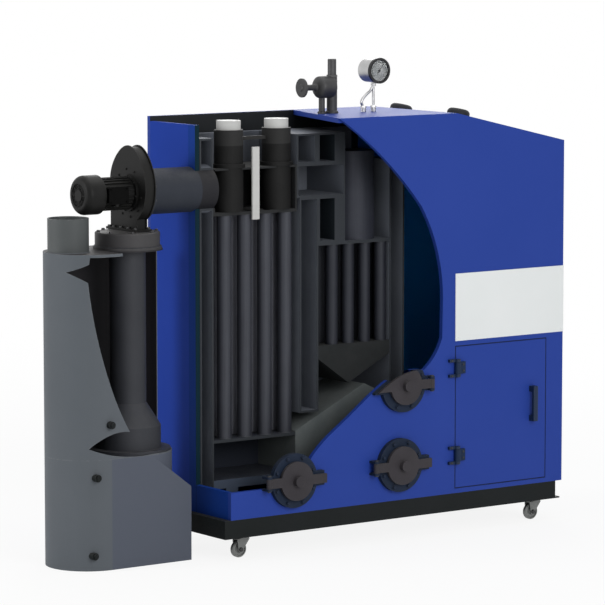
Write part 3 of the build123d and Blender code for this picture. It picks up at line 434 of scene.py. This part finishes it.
finishValues = {
    "baseBlack": dict(colour=(0.005, 0.007, 0.007), drift=(0.008, 0.01, 0.011), rough=(0.48, 0.64),
                      worn=(0.05, 0.05, 0.052), dusty=0.1, specular=0.14),
    "knobBlack": dict(colour=(0.012, 0.013, 0.016), drift=(0.018, 0.019, 0.023), rough=(0.5, 0.64),
                      worn=(0.05, 0.05, 0.052), dusty=0.05, specular=0.22),
    "plateWhite": dict(colour=(0.76, 0.79, 0.785), drift=(0.8, 0.82, 0.82), rough=(0.4, 0.5),
                       worn=(0.55, 0.57, 0.59), wear=0.5, coarse=2, fine=300, bump=0.04),
    "handleBlack": dict(colour=(0.004, 0.014, 0.042), drift=(0.006, 0.018, 0.05), rough=(0.42, 0.54),
                        worn=(0.04, 0.06, 0.1), fine=500, bump=0.15, specular=0.3),
    "castorSteel": dict(colour=(0.15, 0.155, 0.15), drift=(0.19, 0.195, 0.19), rough=(0.36, 0.52),
                        metal=0.5, worn=(0.3, 0.3, 0.3), coarse=30, fine=300),
    "hatchRing": dict(colour=(0.006, 0.013, 0.03), drift=(0.01, 0.018, 0.038), rough=(0.52, 0.7),
                      worn=(0.05, 0.055, 0.07), dusty=0.08, coarse=9, fine=160, bump=0.25, specular=0.18),
    "hatchPlate": dict(colour=(0.026, 0.023, 0.027), drift=(0.036, 0.032, 0.037), rough=(0.52, 0.7),
                       worn=(0.09, 0.085, 0.085), dusty=0.1, coarse=8, fine=150, bump=0.3, specular=0.25),
    "vesselSteel": dict(vessel, zones=[ashRoom]),
    "jacketSteel": vessel,
    # painted light and shade on the passage's faces that look to the rear
    "passageSteel": dict(vessel, inner=toRear, innerShading=passageLitGrey, innerZones=passageShadeBands),
    "floorSteel": dict(vessel, colour=(0.018, 0.022, 0.032), drift=(0.026, 0.03, 0.042), dusty=0.05,
                       streak=0, cutEdge=(0.058, 0.075, 0.11)),
    "smokeSteel": dict(colour=(0.016, 0.017, 0.018), drift=(0.024, 0.025, 0.027), rough=(0.6, 0.78),
                       worn=(0.05, 0.052, 0.056), wear=0.6, dusty=0.15, coarse=6, fine=120, bump=0.25,
                       streak=0.1, specular=0.22, cutEdge=(0.013, 0.014, 0.015)),
    "cleanerSteel": dict(colour=(0.007, 0.007, 0.007), drift=(0.012, 0.012, 0.012), rough=(0.52, 0.68),
                         worn=(0.05, 0.05, 0.05), dusty=0.1, coarse=6, fine=150, bump=0.2, streak=0.04,
                         specular=0.12, zones=[cleanerTopsPaintedLight]),
    "drumSteel": dict(colour=(0.022, 0.024, 0.034), drift=(0.032, 0.035, 0.046), rough=(0.5, 0.66),
                      metal=0.15, worn=(0.08, 0.085, 0.1), dusty=0.1, coarse=6, fine=150, bump=0.15,
                      streak=0.2, specular=0.25),
    "roofBrick": dict(brick, colour=(0.016, 0.018, 0.019), drift=(0.026, 0.028, 0.029), dusty=0.1),
    "slopeBrick": dict(brick, colour=(0.1, 0.115, 0.118), drift=(0.135, 0.15, 0.15), dusty=0.15),
    "tubeSteel": dict(tube, colour=(0.027, 0.029, 0.038), drift=(0.036, 0.039, 0.05), rough=(0.42, 0.58),
                      metal=0.25, worn=(0.12, 0.13, 0.14), streak=0.35, specular=0.35, zones=[backRowsPaintedLight]),
    # painted shade: a darker copy of the tube steel for the second bank
    "tubeSteelShaded": dict(tube, colour=(0.013, 0.015, 0.022), drift=(0.02, 0.022, 0.03), rough=(0.46, 0.62),
                     metal=0.2, worn=(0.08, 0.085, 0.1), streak=0.25, specular=0.3),
    "weldGrey": dict(colour=(0.04, 0.043, 0.05), drift=(0.06, 0.064, 0.072), rough=(0.5, 0.7), metal=0.3,
                     coarse=60, fine=600, bump=0.4, specular=0.35),
    "capWhite": dict(colour=(0.5, 0.5, 0.49), drift=(0.56, 0.56, 0.55), rough=(0.4, 0.55),
                     worn=(0.35, 0.35, 0.35), dusty=0.15, coarse=12, fine=200, specular=0.3),
    "ductGrey": dict(colour=(0.013, 0.017, 0.026), drift=(0.02, 0.024, 0.034), rough=(0.5, 0.64),
                     metal=0.1, worn=(0.09, 0.1, 0.12), dusty=0.12, coarse=5, fine=140, bump=0.12,
                     specular=0.28, zones=[ductInsideShade]),
    "fanBlack": dict(colour=(0.006, 0.006, 0.006), drift=(0.01, 0.01, 0.0095), rough=(0.42, 0.56),
                     worn=(0.045, 0.045, 0.045), dusty=0.08, coarse=8, fine=200, bump=0.15, specular=0.14),
    "terminalBlack": dict(colour=(0.0015, 0.0015, 0.0015), drift=(0.003, 0.003, 0.003), rough=(0.6, 0.75),
                          coarse=20, fine=400, bump=0.2, specular=0.05),
    "collectorGrey": dict(collectorPaint, worn=(0.24, 0.25, 0.26), sootShade=collectorSootShade),
    "ashGrey": dict(collectorPaint, worn=(0.2, 0.21, 0.22), zones=[flatAshSideShade]),
    "collectorStub": dict(collectorPaint, colour=(0.062, 0.069, 0.071), drift=(0.076, 0.083, 0.085),
                          rough=(0.5, 0.65), worn=(0.24, 0.25, 0.26), dusty=0.2, specular=0.35),
    "collectorWeld": dict(colour=(0.08, 0.088, 0.098), drift=(0.1, 0.108, 0.12), rough=(0.5, 0.7),
                          coarse=40, fine=500, bump=0.4, specular=0.35),
    "lidGrey": dict(colour=(0.036, 0.035, 0.037), drift=(0.048, 0.046, 0.049), rough=(0.5, 0.66),
                    worn=(0.12, 0.12, 0.13), dusty=0.25, coarse=4, fine=200, bump=0.12, specular=0.35),
    "pipeGrey": dict(colour=(0.025, 0.027, 0.033), drift=(0.035, 0.037, 0.044), rough=(0.5, 0.66),
                     metal=0.1, worn=(0.1, 0.1, 0.11), dusty=0.12, coarse=4, fine=160, bump=0.15,
                     specular=0.28),
    "valveMetal": dict(colour=(0.045, 0.045, 0.046), drift=(0.065, 0.065, 0.067), rough=(0.42, 0.58),
                       metal=0.35, worn=(0.16, 0.16, 0.16), coarse=16, fine=220, bump=0.3, specular=0.3),
    "gaugeSteel": dict(colour=(0.42, 0.42, 0.42), drift=(0.52, 0.52, 0.52), rough=(0.26, 0.38),
                       metal=0.85, coarse=20, fine=400, bump=0.03, zones=[bezel]),
    "dialWhite": dict(colour=(0.25, 0.255, 0.255), drift=(0.28, 0.285, 0.285), rough=(0.45, 0.55),
                      coarse=30, fine=600, bump=0.02),
    "dialBlack": dict(colour=(0.01, 0.01, 0.01), drift=(0.014, 0.014, 0.014), rough=(0.45, 0.55),
                      coarse=60, fine=900, bump=0.02),
    "dialGlass": dict(colour=(0.95, 0.97, 0.97), drift=(0.98, 0.98, 0.98), rough=(0.02, 0.05),
                      coarse=20, fine=300, bump=0.01),
    "boltSteel": dict(colour=(0.02, 0.02, 0.021), drift=(0.034, 0.034, 0.036), rough=(0.42, 0.58),
                      metal=0.2, worn=(0.1, 0.1, 0.1), coarse=60, fine=500, bump=0.1),
    "gasketBlack": dict(colour=(0.006, 0.012, 0.05), drift=(0.009, 0.016, 0.06), rough=(0.7, 0.85),
                        coarse=20, fine=400, bump=0.3, specular=0.2),
    # painted light: a brighter, more saturated copy of the casing blue for the rear panel, with painted
    # shade where the collector's shadow falls
    "casingBlueRearPaintedLight": dict(casingPaint, colour=(0.015, 0.05, 0.34), drift=(0.019, 0.056, 0.36),
                           rough=(0.6, 0.72), specular=0.07, inner=toFront, zones=[shadedSide],
                           cutEdge=(0.004, 0.02, 0.03)),
}
nodeFinish = {
    "baseBlack": ["base_frame", "floor_panel", "side_clips"],
    "knobBlack": ["roof_knobs"],
    "plateWhite": ["bare_plate"],
    "handleBlack": ["door_handle", "door_hinges"],
    "castorSteel": [name for name in nodes if name.startswith("castor")],
    "hatchRing": ["hatch_frames"],
    "hatchPlate": ["hatch_door_1", "hatch_door_2", "hatch_door_3"],
    "vesselSteel": ["middle_water_wall", "front_water_wall", "far_water_wall", "lower_tube_plate"],
    "jacketSteel": ["rear_water_wall"],
    "passageSteel": ["gas_passage"],
    "floorSteel": ["vessel_floor"],
    "smokeSteel": ["smoke_box"],
    "cleanerSteel": ["cleaning_cylinders"],
    "drumSteel": ["turning_drum"],
    "roofBrick": ["fire_roof"],
    "slopeBrick": ["ash_slope"],
    "tubeSteel": ["first_pass_tubes"],
    "tubeSteelShaded": ["second_pass_tubes"],
    "capWhite": ["cylinder_caps", "cleaning_bar"],
    "ductGrey": ["exhaust_duct", "duct_collar"],
    "fanBlack": ["fan_scroll", "fan_outlet", "fan_motor"],
    "terminalBlack": ["terminal_box"],
    "collectorGrey": ["collector_shell"],
    "ashGrey": ["ash_box"],
    "collectorStub": ["chimney_stub"],
    "lidGrey": ["collector_lid"],
    "pipeGrey": ["inner_pipe", "ash_flange"],
    "valveMetal": ["safety_valve"],
    "gaugeSteel": ["pressure_gauge"],
    "casingBlueRearPaintedLight": ["rear_panel"],
}

frontRoom = at(1062, 0, 0)  # where the water walls end and the sides show blue from inside
roomBlue = (0.014, 0.06, 0.28)
# painted shade: the panels' inside faces take the near-black inner shading; past frontRoom they keep the
# paint's own blue
innerSides = {"near_panel": toFar, "far_panel": toNear, "roof_panel": down, "front_panel": toRear,
              "slope_panel": (-0.22, 0, -0.97), "side_door": toFar}
for side, way in innerSides.items():
    inside = [zone(toFront, frontRoom, roomBlue)]
    # painted light: past frontRoom the far panel's inside is a brighter blue, and below 610 mm it keeps the
    # paint's blue
    if side == "far_panel":  # little light comes this far in, but for what the open door shows
        inside = [zone(toFront, frontRoom, (0.012, 0.26, 0.68)), zone(down, at(0, 0, 610), roomBlue)]
    finishValues["casingBlue_" + side] = dict(
        casingPaint, colour=(0.014, 0.045, 0.283), drift=(0.018, 0.05, 0.3), rough=(0.5, 0.62),
        specular=0.2, inner=way, innerZones=inside, zones=[hingeBarrels] if side == "side_door" else ())
    nodeFinish["casingBlue_" + side] = [side]

finishes = {name: finish(name, **values) for name, values in finishValues.items()}
glassShader = finishes["dialGlass"].node_tree.nodes["Principled BSDF"]
glassShader.inputs["Transmission Weight"].default_value = 1
glassShader.inputs["IOR"].default_value = 1.1
for look, names in nodeFinish.items():
    for name in names:
        nodes[name].data.materials.clear()
        nodes[name].data.materials.append(finishes[look])
print("finishes on the frame")


# helpers for modelling

def clearSelection():
    bpy.ops.object.select_all(action="DESELECT")


def openPiece(name, look):  # names the primitive just added and opens it with nothing picked
    piece = bpy.context.object
    piece.name = name
    piece.data.materials.append(finishes[look])
    bpy.ops.object.mode_set(mode="EDIT")
    bpy.ops.mesh.select_all(action="DESELECT")
    return piece


def pick(piece, kind, test):  # picks the faces or edges that pass a test
    bpy.ops.mesh.select_mode(type=kind)
    bpy.ops.mesh.select_all(action="DESELECT")
    shape = bmesh.from_edit_mesh(piece.data)
    for item in (shape.faces if kind == "FACE" else shape.edges):
        if test(item):
            item.select_set(True)
    bmesh.update_edit_mesh(piece.data)


def closePiece(piece, smooth=35):
    bpy.ops.mesh.select_all(action="SELECT")
    bpy.ops.mesh.normals_make_consistent(inside=False)
    bpy.ops.object.mode_set(mode="OBJECT")
    bpy.ops.object.transform_apply(location=True, rotation=True, scale=True)
    bpy.ops.object.shade_smooth_by_angle(angle=math.radians(smooth))
    return piece


def addBox(name, look, place, size):  # a box, opened with all of it picked, in millimetres
    clearSelection()
    bpy.ops.mesh.primitive_cube_add(size=1, location=Vector(place) / 1000, scale=Vector(size) / 1000)
    piece = openPiece(name, look)
    bpy.ops.mesh.select_all(action="SELECT")
    return piece


def extrudeTo(z, fromZ, radius, fromRadius):
    bpy.ops.mesh.extrude_region_move(TRANSFORM_OT_translate={"value": (0, 0, z - fromZ)})
    share = radius / fromRadius
    bpy.ops.transform.resize(value=(share, share, 1), center_override=(0, 0, z))


def turned(name, look, steps, sides, smooth=35):  # turned on Z from steps of radius and height, in mm
    clearSelection()
    steps = [(radius / 1000, z / 1000) for radius, z in steps]
    radius, z = steps[0]
    bpy.ops.mesh.primitive_circle_add(vertices=sides, radius=radius, fill_type="NGON", location=(0, 0, z))
    piece = openPiece(name, look)
    bpy.ops.mesh.select_all(action="SELECT")
    for nextRadius, nextZ in steps[1:]:
        extrudeTo(nextZ, z, nextRadius, radius)
        radius, z = nextRadius, nextZ
    return closePiece(piece, smooth)


boltLook = {"flatsToCorner": 1.732, "bevel": 0.2, "washerSides": 16}
screwLook = {"sides": 14, "shoulder": 0.7, "crown": 0.8, "socket": 0.5, "socketFoot": 0.42, "floor": 0.4}
seamLook = {"uneven": 0.25, "uniform": 0.3, "normal": 0.4, "smooth": 70}


def makeBolt(name, look, across, height, washer, lift=1.6):  # hexagon head on its washer, in millimetres
    clearSelection()
    top = (lift + height) / 1000
    cornerRadius = across / boltLook["flatsToCorner"] / 1000
    bpy.ops.mesh.primitive_cylinder_add(vertices=6, radius=cornerRadius, depth=height / 1000,
                                        location=(0, 0, (lift + height / 2) / 1000))
    bpy.ops.object.transform_apply(location=True, rotation=True, scale=True)
    piece = openPiece(name, look)
    pick(piece, "EDGE", lambda edge: all(v.co.z > top - 1e-5 for v in edge.verts))
    bpy.ops.mesh.bevel(offset=height * boltLook["bevel"] / 1000, segments=2, affect="EDGES")
    bpy.ops.mesh.select_all(action="DESELECT")
    rim = washer / 2000
    bpy.ops.mesh.primitive_circle_add(vertices=boltLook["washerSides"], radius=rim, fill_type="NGON",
                                      location=(0, 0, 0))
    extrudeTo(lift / 1000, 0, rim, rim)
    return closePiece(piece)


def makeScrew(name, look, width, height):  # round head with a sunk socket, in millimetres
    half = width / 2
    steps = [(half, 0), (half, height * screwLook["shoulder"]), (half * screwLook["crown"], height),
             (half * screwLook["socket"], height),
             (half * screwLook["socketFoot"], height * screwLook["floor"])]
    return turned(name, look, steps, screwLook["sides"])


def makeSeam(name, look, radius, thick, seed, around=96, across=8):  # uneven bead round a circle
    clearSelection()
    bpy.ops.mesh.primitive_torus_add(major_radius=radius / 1000, minor_radius=thick / 1000,
                                     major_segments=around, minor_segments=across)
    piece = openPiece(name, look)
    bpy.ops.mesh.select_all(action="SELECT")
    bpy.ops.transform.vertex_random(offset=thick * seamLook["uneven"] / 1000, uniform=seamLook["uniform"],
                                    normal=seamLook["normal"], seed=seed)
    return closePiece(piece, seamLook["smooth"])


def spun(spot, angle, axis="Z"):
    return spot @ Matrix.Rotation(math.radians(angle), 4, axis)


def facing(place, way, spin=0):  # frame at a place whose Z points one way
    turn = Vector(way).to_track_quat("Z", "Y").to_matrix().to_4x4()
    return spun(Matrix.Translation(place) @ turn, spin)


def spotsRound(centre, way, radius, angles):  # frames on a circle, radius in millimetres
    across = Vector((0, 1, 0)) if abs(way[0]) > 0.5 else Vector((1, 0, 0))
    upright = Vector((0, 1, 0)) if abs(way[2]) > 0.5 else Vector((0, 0, 1))
    spots = []
    for angle in angles:
        turn = math.radians(angle)
        place = centre + (across * math.cos(turn) + upright * math.sin(turn)) * radius / 1000
        spots.append(facing(place, way, angle))
    return spots


def evenly(count, start=0):
    return [start + 360 * i / count for i in range(count)]


def spare(master):  # a copy with its own mesh
    piece = master.copy()
    piece.data = master.data.copy()
    bpy.context.collection.objects.link(piece)
    return piece


def joined(name, pieces):  # one piece with its place in its mesh
    clearSelection()
    for piece in pieces:
        piece.select_set(True)
    bpy.context.view_layer.objects.active = pieces[0]
    if len(pieces) > 1:
        bpy.ops.object.join()
    piece = bpy.context.object
    piece.name = name
    bpy.ops.object.transform_apply(location=True, rotation=True, scale=True)
    return piece


def copies(name, master, spots, body):  # joins copies on frames, and puts the master away
    made = []
    for spot in spots:
        piece = spare(master)
        piece.matrix_world = spot
        made.append(piece)
    bpy.data.objects.remove(master)
    piece = joined(name, made)
    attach(piece, body)


# pressure gauge

gauge = {"x": 935, "y": 260, "z": 1938, "legGap": 52, "footLevel": 1782,
         "dialSteps": [(43, 0), (43, 0.8), (42, 1)], "glassSteps": [(43.6, 4.2), (43.6, 5), (42, 5.4)],
         "hubSteps": [(5, 1), (5, 2.6), (4.2, 3.4), (1.5, 3.6)],
         "ticks": 41, "sweep": 270, "wideEvery": 5, "wideTick": 1.5, "thinTick": 0.8,
         "tickMiddle": (0, 34.5, 1.2), "tickSize": (0.9, 7, 0.5), "tickBevel": 0.1,
         "needleAt": 0.64, "needleMiddle": (0, 9, 2), "needleSize": (3, 44, 0.6), "needleTip": 0.2,
         "nut": {"across": 21, "height": 9, "washer": 24, "lift": 1.5}}


def makeGauge():
    front = facing(at(gauge["x"], gauge["y"], gauge["z"]), toNear)
    dial = turned("gaugeDial", "dialWhite", gauge["dialSteps"], sides=64)
    copies("gaugeDial", dial, [front], "boiler")
    tick = addBox("gaugeTick", "dialBlack", gauge["tickMiddle"], gauge["tickSize"])
    bpy.ops.mesh.bevel(offset=gauge["tickBevel"] / 1000, segments=1, affect="EDGES")
    closePiece(tick)
    spots = []
    for i in range(gauge["ticks"]):
        turn = gauge["sweep"] * (i / (gauge["ticks"] - 1) - 0.5)
        width = gauge["thinTick"] if i % gauge["wideEvery"] else gauge["wideTick"]
        spots.append(spun(front, turn) @ Matrix.Diagonal((width, 1, 1, 1)))
    copies("gaugeTicks", tick, spots, "boiler")
    needle = addBox("gaugeNeedle", "dialBlack", gauge["needleMiddle"], gauge["needleSize"])
    pick(needle, "FACE", lambda face: face.normal.y > 0.5)
    bpy.ops.transform.resize(value=(gauge["needleTip"], 1, 1))
    closePiece(needle)
    turn = gauge["sweep"] * (gauge["needleAt"] - 0.5)
    copies("gaugeNeedle", needle, [spun(front, -turn)], "boiler")
    hub = turned("gaugeHub", "gaugeSteel", gauge["hubSteps"], sides=24)
    copies("gaugeHub", hub, [front], "boiler")
    glass = turned("gaugeGlass", "dialGlass", gauge["glassSteps"], sides=64)
    copies("gaugeGlass", glass, [front], "boiler")
    nut = makeBolt("siphonNut", "gaugeSteel", **gauge["nut"])
    legs = (gauge["x"] - gauge["legGap"], gauge["x"])
    spots = [facing(at(x, middleY, gauge["footLevel"]), up) for x in legs]
    copies("siphonNuts", nut, spots, "boiler")


# safety valve

valve = {"x": 720, "level": 1876, "roof": 1766, "legX": 668, "nutRise": 42, "nutTurn": 15, "merge": 0.2,
         "bodySteps": [(34, 0), (43, 3), (46, 8), (46, 62), (44, 69), (38, 75), (29, 79), (17, 82),
                       (12.5, 88), (12.5, 142), (15, 146), (36, 148), (39.5, 150), (39.5, 157), (37, 159),
                       (15, 159), (13, 163), (6, 163)],
         "columnSteps": [(27, 0), (27, 8), (25, 10), (22, 12), (22, 148), (20, 154), (18, 156), (18, 222),
                         (16, 226)],
         "legSteps": [(18, 0), (18, 8), (16, 10), (13, 11), (13, 95)],
         "nutSteps": [(24.5, 0), (24.5, 6), (23, 8), (19, 8)]}


def makeValve():
    body = turned("valveForm", "valveMetal", valve["bodySteps"], sides=48)
    body.matrix_world = facing(at(valve["x"], middleY, valve["level"]), toRear)
    for x, steps in ((valve["x"], valve["columnSteps"]), (valve["legX"], valve["legSteps"])):
        post = turned("valvePost", "valveMetal", steps, sides=32)
        post.matrix_world = facing(at(x, middleY, valve["roof"]), up)
        clearSelection()
        body.select_set(True)
        bpy.context.view_layer.objects.active = body
        bpy.ops.object.modifier_add(type="BOOLEAN")
        join = body.modifiers[-1]
        join.operation = "UNION"
        join.object = post
        bpy.ops.object.modifier_apply(modifier=join.name)
        bpy.data.objects.remove(post)
    bpy.ops.object.mode_set(mode="EDIT")
    bpy.ops.mesh.select_all(action="SELECT")
    bpy.ops.mesh.remove_doubles(threshold=valve["merge"] / 1000)
    closePiece(body)
    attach(body, "boiler")
    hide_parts("safety_valve")
    nut = turned("valveNut", "valveMetal", valve["nutSteps"], sides=6)
    spot = facing(at(valve["x"], middleY, valve["level"] + valve["nutRise"]), up, valve["nutTurn"])
    copies("valveNut", nut, [spot], "boiler")


# fan, motor and duct

fan = {"x": -264, "level": 1484, "cowlEnd": -526, "flangeX": -298, "scrollX": -289, "collarX": -229,
       "grilleRings": (28, 34, 40, 46), "grilleWire": 1.3, "grilleDepth": 2.5,
       "spokes": 8, "spokeSteps": [(1.2, 23), (1.5, 24), (1.5, 48), (1.2, 49)],
       "motorBolts": 71, "motorAngles": evenly(8, 7.5),
       "motorBolt": {"across": 5, "height": 4, "washer": 6.4, "lift": 0.8},
       "collarBolts": 104, "collarAngles": evenly(12, 15),
       "outletLevel": 1340, "outletHalf": 32, "outletBolts": (240, 292, 346, 398, 432),
       "flangeBolt": {"across": 11, "height": 6, "washer": 16},
       "scrollScrews": 96, "scrollAngles": evenly(10, 9), "scrollScrew": {"width": 9, "height": 3.5}}
terminal = {"face": 209, "screwX": (-428, -354), "screwZ": (1458, 1510), "screw": {"width": 7, "height": 3},
            "gland": (-391, 228, 1454),
            "glandSteps": [(11, 0), (11, 7), (9.5, 8), (9.5, 14), (7.5, 16), (4.5, 16), (4, 11)]}


def makeFanDetails():
    def onAxis(x):
        return at(x, middleY, fan["level"])

    grilleFrame = facing(onAxis(fan["cowlEnd"] + fan["grilleDepth"]), toRear)
    rings = []
    for radius in fan["grilleRings"]:
        ring = makeSeam("grilleRing", "fanBlack", radius, fan["grilleWire"], seed=1, around=64, across=6)
        ring.matrix_world = grilleFrame
        rings.append(ring)
    grille = joined("cowlGrille", rings)
    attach(grille, "boiler")
    spoke = turned("grilleSpoke", "fanBlack", fan["spokeSteps"], sides=8)
    spots = [spun(spun(grilleFrame, angle), 90, "Y") for angle in evenly(fan["spokes"])]
    copies("cowlSpokes", spoke, spots, "boiler")
    bolt = makeBolt("motorBolt", "fanBlack", **fan["motorBolt"])
    spots = spotsRound(onAxis(fan["flangeX"]), toRear, fan["motorBolts"], fan["motorAngles"])
    copies("motorBolts", bolt, spots, "boiler")
    bolt = makeBolt("flangeBolt", "boltSteel", **fan["flangeBolt"])
    spots = spotsRound(onAxis(fan["collarX"]), toFront, fan["collarBolts"], fan["collarAngles"])
    copies("collarBolts", spare(bolt), spots, "boiler")
    spots = [facing(at(fan["x"] + side * fan["outletHalf"], y, fan["outletLevel"]), up)
             for side in (-1, 1) for y in fan["outletBolts"]]
    copies("outletBolts", bolt, spots, "boiler")
    screw = makeScrew("scrollScrew", "fanBlack", **fan["scrollScrew"])
    spots = spotsRound(onAxis(fan["scrollX"]), toRear, fan["scrollScrews"], fan["scrollAngles"])
    copies("scrollScrews", screw, spots, "boiler")
    screw = makeScrew("lidScrew", "terminalBlack", **terminal["screw"])
    spots = [facing(at(x, terminal["face"], z), toNear)
             for x in terminal["screwX"] for z in terminal["screwZ"]]
    copies("terminalScrews", screw, spots, "boiler")
    gland = turned("cableGland", "fanBlack", terminal["glandSteps"], sides=24)
    copies("terminalGland", gland, [facing(at(*terminal["gland"]), down)], "boiler")


# dust collector

collector = {"stubX": -574, "stubLevel": 1263, "stubSeam": {"radius": 83.5, "thick": 2.6, "seed": 3},
             "lidX": -295, "lidLevel": 1273.5, "lidSeam": {"radius": 132.5, "thick": 2.4, "seed": 5},
             "lidTop": 1330, "lidBolts": 118, "lidBolt": {"across": 12, "height": 6, "washer": 17},
             "lidAngles": evenly(8, 22.5), "outletAngle": 67.5}


def makeCollectorDetails():
    seam = makeSeam("stubSeam", "collectorWeld", **collector["stubSeam"])
    spot = facing(at(collector["stubX"], middleY, collector["stubLevel"]), up)
    copies("stubSeam", seam, [spot], "boiler")
    seam = makeSeam("lidSeam", "pipeGrey", **collector["lidSeam"])
    spot = facing(at(collector["lidX"], middleY, collector["lidLevel"]), up)
    copies("lidSeam", seam, [spot], "boiler")
    bolt = makeBolt("lidBolt", "lidGrey", **collector["lidBolt"])
    centre = at(collector["lidX"], middleY, collector["lidTop"])
    angles = [a for a in collector["lidAngles"] if a != collector["outletAngle"]]  # none under the flange
    spots = spotsRound(centre, up, collector["lidBolts"], angles)
    copies("lidBolts", bolt, spots, "boiler")


# vessel and tube banks

firstBank = {"name": "firstBankWelds", "first": 163, "pitch": 100.7, "columns": 4, "rows": (284, 372, 460),
             "levels": (453, 1371), "radius": 30.6}
secondBank = {"name": "secondBankWelds", "first": 704, "pitch": 84, "columns": 4,
              "rows": (279.5, 367.5, 455.5), "levels": (1221,), "radius": 26.1}
tubeWeld = {"thick": 2.2, "seed": 7, "around": 32, "across": 6}
weldTurn = 40  # each column's welds are turned on, so that they differ


def makeTubeWelds():
    for bank in (firstBank, secondBank):
        seam = makeSeam(bank["name"], "weldGrey", bank["radius"], **tubeWeld)
        spots = []
        for i in range(bank["columns"]):
            x = bank["first"] + i * bank["pitch"]
            spots += [facing(at(x, y, z), up, weldTurn * i) for y in bank["rows"] for z in bank["levels"]]
        copies(bank["name"], seam, spots, "boiler")


# cleaning hatches

hatches = [  # the upper one keeps the bolts that the section leaves
    {"x": 842, "z": 316, "hinge": -1, "bolts": evenly(8, 22.5)},
    {"x": 857, "z": 649, "hinge": 1, "bolts": [-22.5, -67.5, -112.5, 22.5]},
    {"x": 301, "z": 303, "hinge": -1, "bolts": evenly(8, 22.5)}]
hatch = {"ringFace": -22, "bolts": 97, "bolt": {"across": 13, "height": 7, "washer": 19},
         "pinReach": 136, "pinY": -34, "pinHalf": 30, "pinSteps": [(8.5, 0), (8.5, 2.4), (7, 4), (2, 4.4)]}


def makeHatchDetails():
    bolt = makeBolt("hatchBolt", "hatchRing", **hatch["bolt"])
    spots = []
    for one in hatches:
        spots += spotsRound(at(one["x"], hatch["ringFace"], one["z"]), toNear, hatch["bolts"], one["bolts"])
    copies("hatchBolts", bolt, spots, "boiler")
    head = turned("pinHead", "boltSteel", hatch["pinSteps"], sides=20)
    spots = []
    for one in hatches:
        x = one["x"] + one["hinge"] * hatch["pinReach"]
        for end in (-1, 1):
            spots.append(facing(at(x, hatch["pinY"], one["z"] + end * hatch["pinHalf"]), (0, 0, end)))
    copies("hatchPinHeads", head, spots, "boiler")


# side door and plate

door = {"left": 1146, "right": 1631, "bottom": 190, "top": 786, "gap": 4.5, "gasketWidth": 4,
        "gasketFrom": 1, "gasketTo": 7}
hinge = {"levels": (329, 698), "face": -13.3, "fixedX": 1116, "fixedHalf": 32, "movingX": 1177,
         "movingHalf": 13, "screw": {"width": 8, "height": 2.4}}
plate = {"face": -3, "rivetX": (1155, 1712), "rivetZ": (825, 1081),
         "rivetSteps": [(4, 0), (4, 0.8), (3.2, 1.8), (1.6, 2.3)]}


def makeDoorDetails():
    def leafSpots(x, half):
        return [facing(at(x, hinge["face"], z + side * half), toNear)
                for z in hinge["levels"] for side in (-1, 1)]

    screw = makeScrew("hingeScrew", "boltSteel", **hinge["screw"])
    fixed = leafSpots(hinge["fixedX"], hinge["fixedHalf"])
    moving = leafSpots(hinge["movingX"], hinge["movingHalf"])
    copies("hingeScrewsFixed", spare(screw), fixed, "boiler")
    copies("hingeScrewsDoor", screw, moving, "side_door")
    clearSelection()
    low = at(door["left"] - door["gap"], door["gasketFrom"], door["bottom"] - door["gap"])
    high = at(door["right"] + door["gap"], door["gasketFrom"], door["top"] + door["gap"])
    middle = (low + high) / 2
    bpy.ops.mesh.primitive_plane_add(size=1, location=middle, rotation=(math.radians(90), 0, 0))
    gasket = openPiece("doorGasket", "gasketBlack")
    bpy.ops.mesh.select_all(action="SELECT")
    bpy.ops.transform.resize(value=(high.x - low.x, 1, high.z - low.z), center_override=middle)
    bpy.ops.mesh.inset(thickness=door["gasketWidth"] / 1000, depth=0)
    bpy.ops.mesh.delete(type="FACE")
    bpy.ops.mesh.select_all(action="SELECT")
    depth = (door["gasketTo"] - door["gasketFrom"]) / 1000
    bpy.ops.mesh.extrude_region_move(TRANSFORM_OT_translate={"value": (0, depth, 0)})
    closePiece(gasket)
    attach(gasket, "boiler")
    rivet = turned("plateRivet", "plateWhite", plate["rivetSteps"], sides=16)
    spots = [facing(at(x, plate["face"], z), toNear) for x in plate["rivetX"] for z in plate["rivetZ"]]
    copies("plateRivets", rivet, spots, "boiler")


# castors

castors = {"near_rear": (100, 62), "near_front": (1626, 62), "far_rear": (100, 538),
           "far_front": (1626, 538)}
castor = {"trail": 22, "axle": 34, "cheek": 19, "race": 79,
          "nut": {"across": 15, "height": 5, "washer": 19, "lift": 1.4},
          "raceSteps": [(27, 0), (27, 5), (24, 8), (23.2, 8)]}


def makeCastorDetails():
    nut = makeBolt("axleNut", "boltSteel", **castor["nut"])
    race = turned("castorRace", "castorSteel", castor["raceSteps"], sides=40)
    for where, (x, y) in castors.items():
        body = "castor_swivel_" + where
        spots = [facing(at(x - castor["trail"], y + side * castor["cheek"], castor["axle"]), (0, side, 0))
                 for side in (-1, 1)]
        copies("axleNuts_" + where, spare(nut), spots, body)
        spots = [facing(at(x, y, castor["race"]), up)]
        copies("castorRace_" + where, spare(race), spots, body)
    bpy.data.objects.remove(nut)
    bpy.data.objects.remove(race)


makeGauge()
makeValve()
print("gauge and valve dressed")
makeFanDetails()
makeCollectorDetails()
print("fan and collector dressed")
makeTubeWelds()
makeHatchDetails()
makeDoorDetails()
makeCastorDetails()
print("vessel, hatches, door and castors dressed")
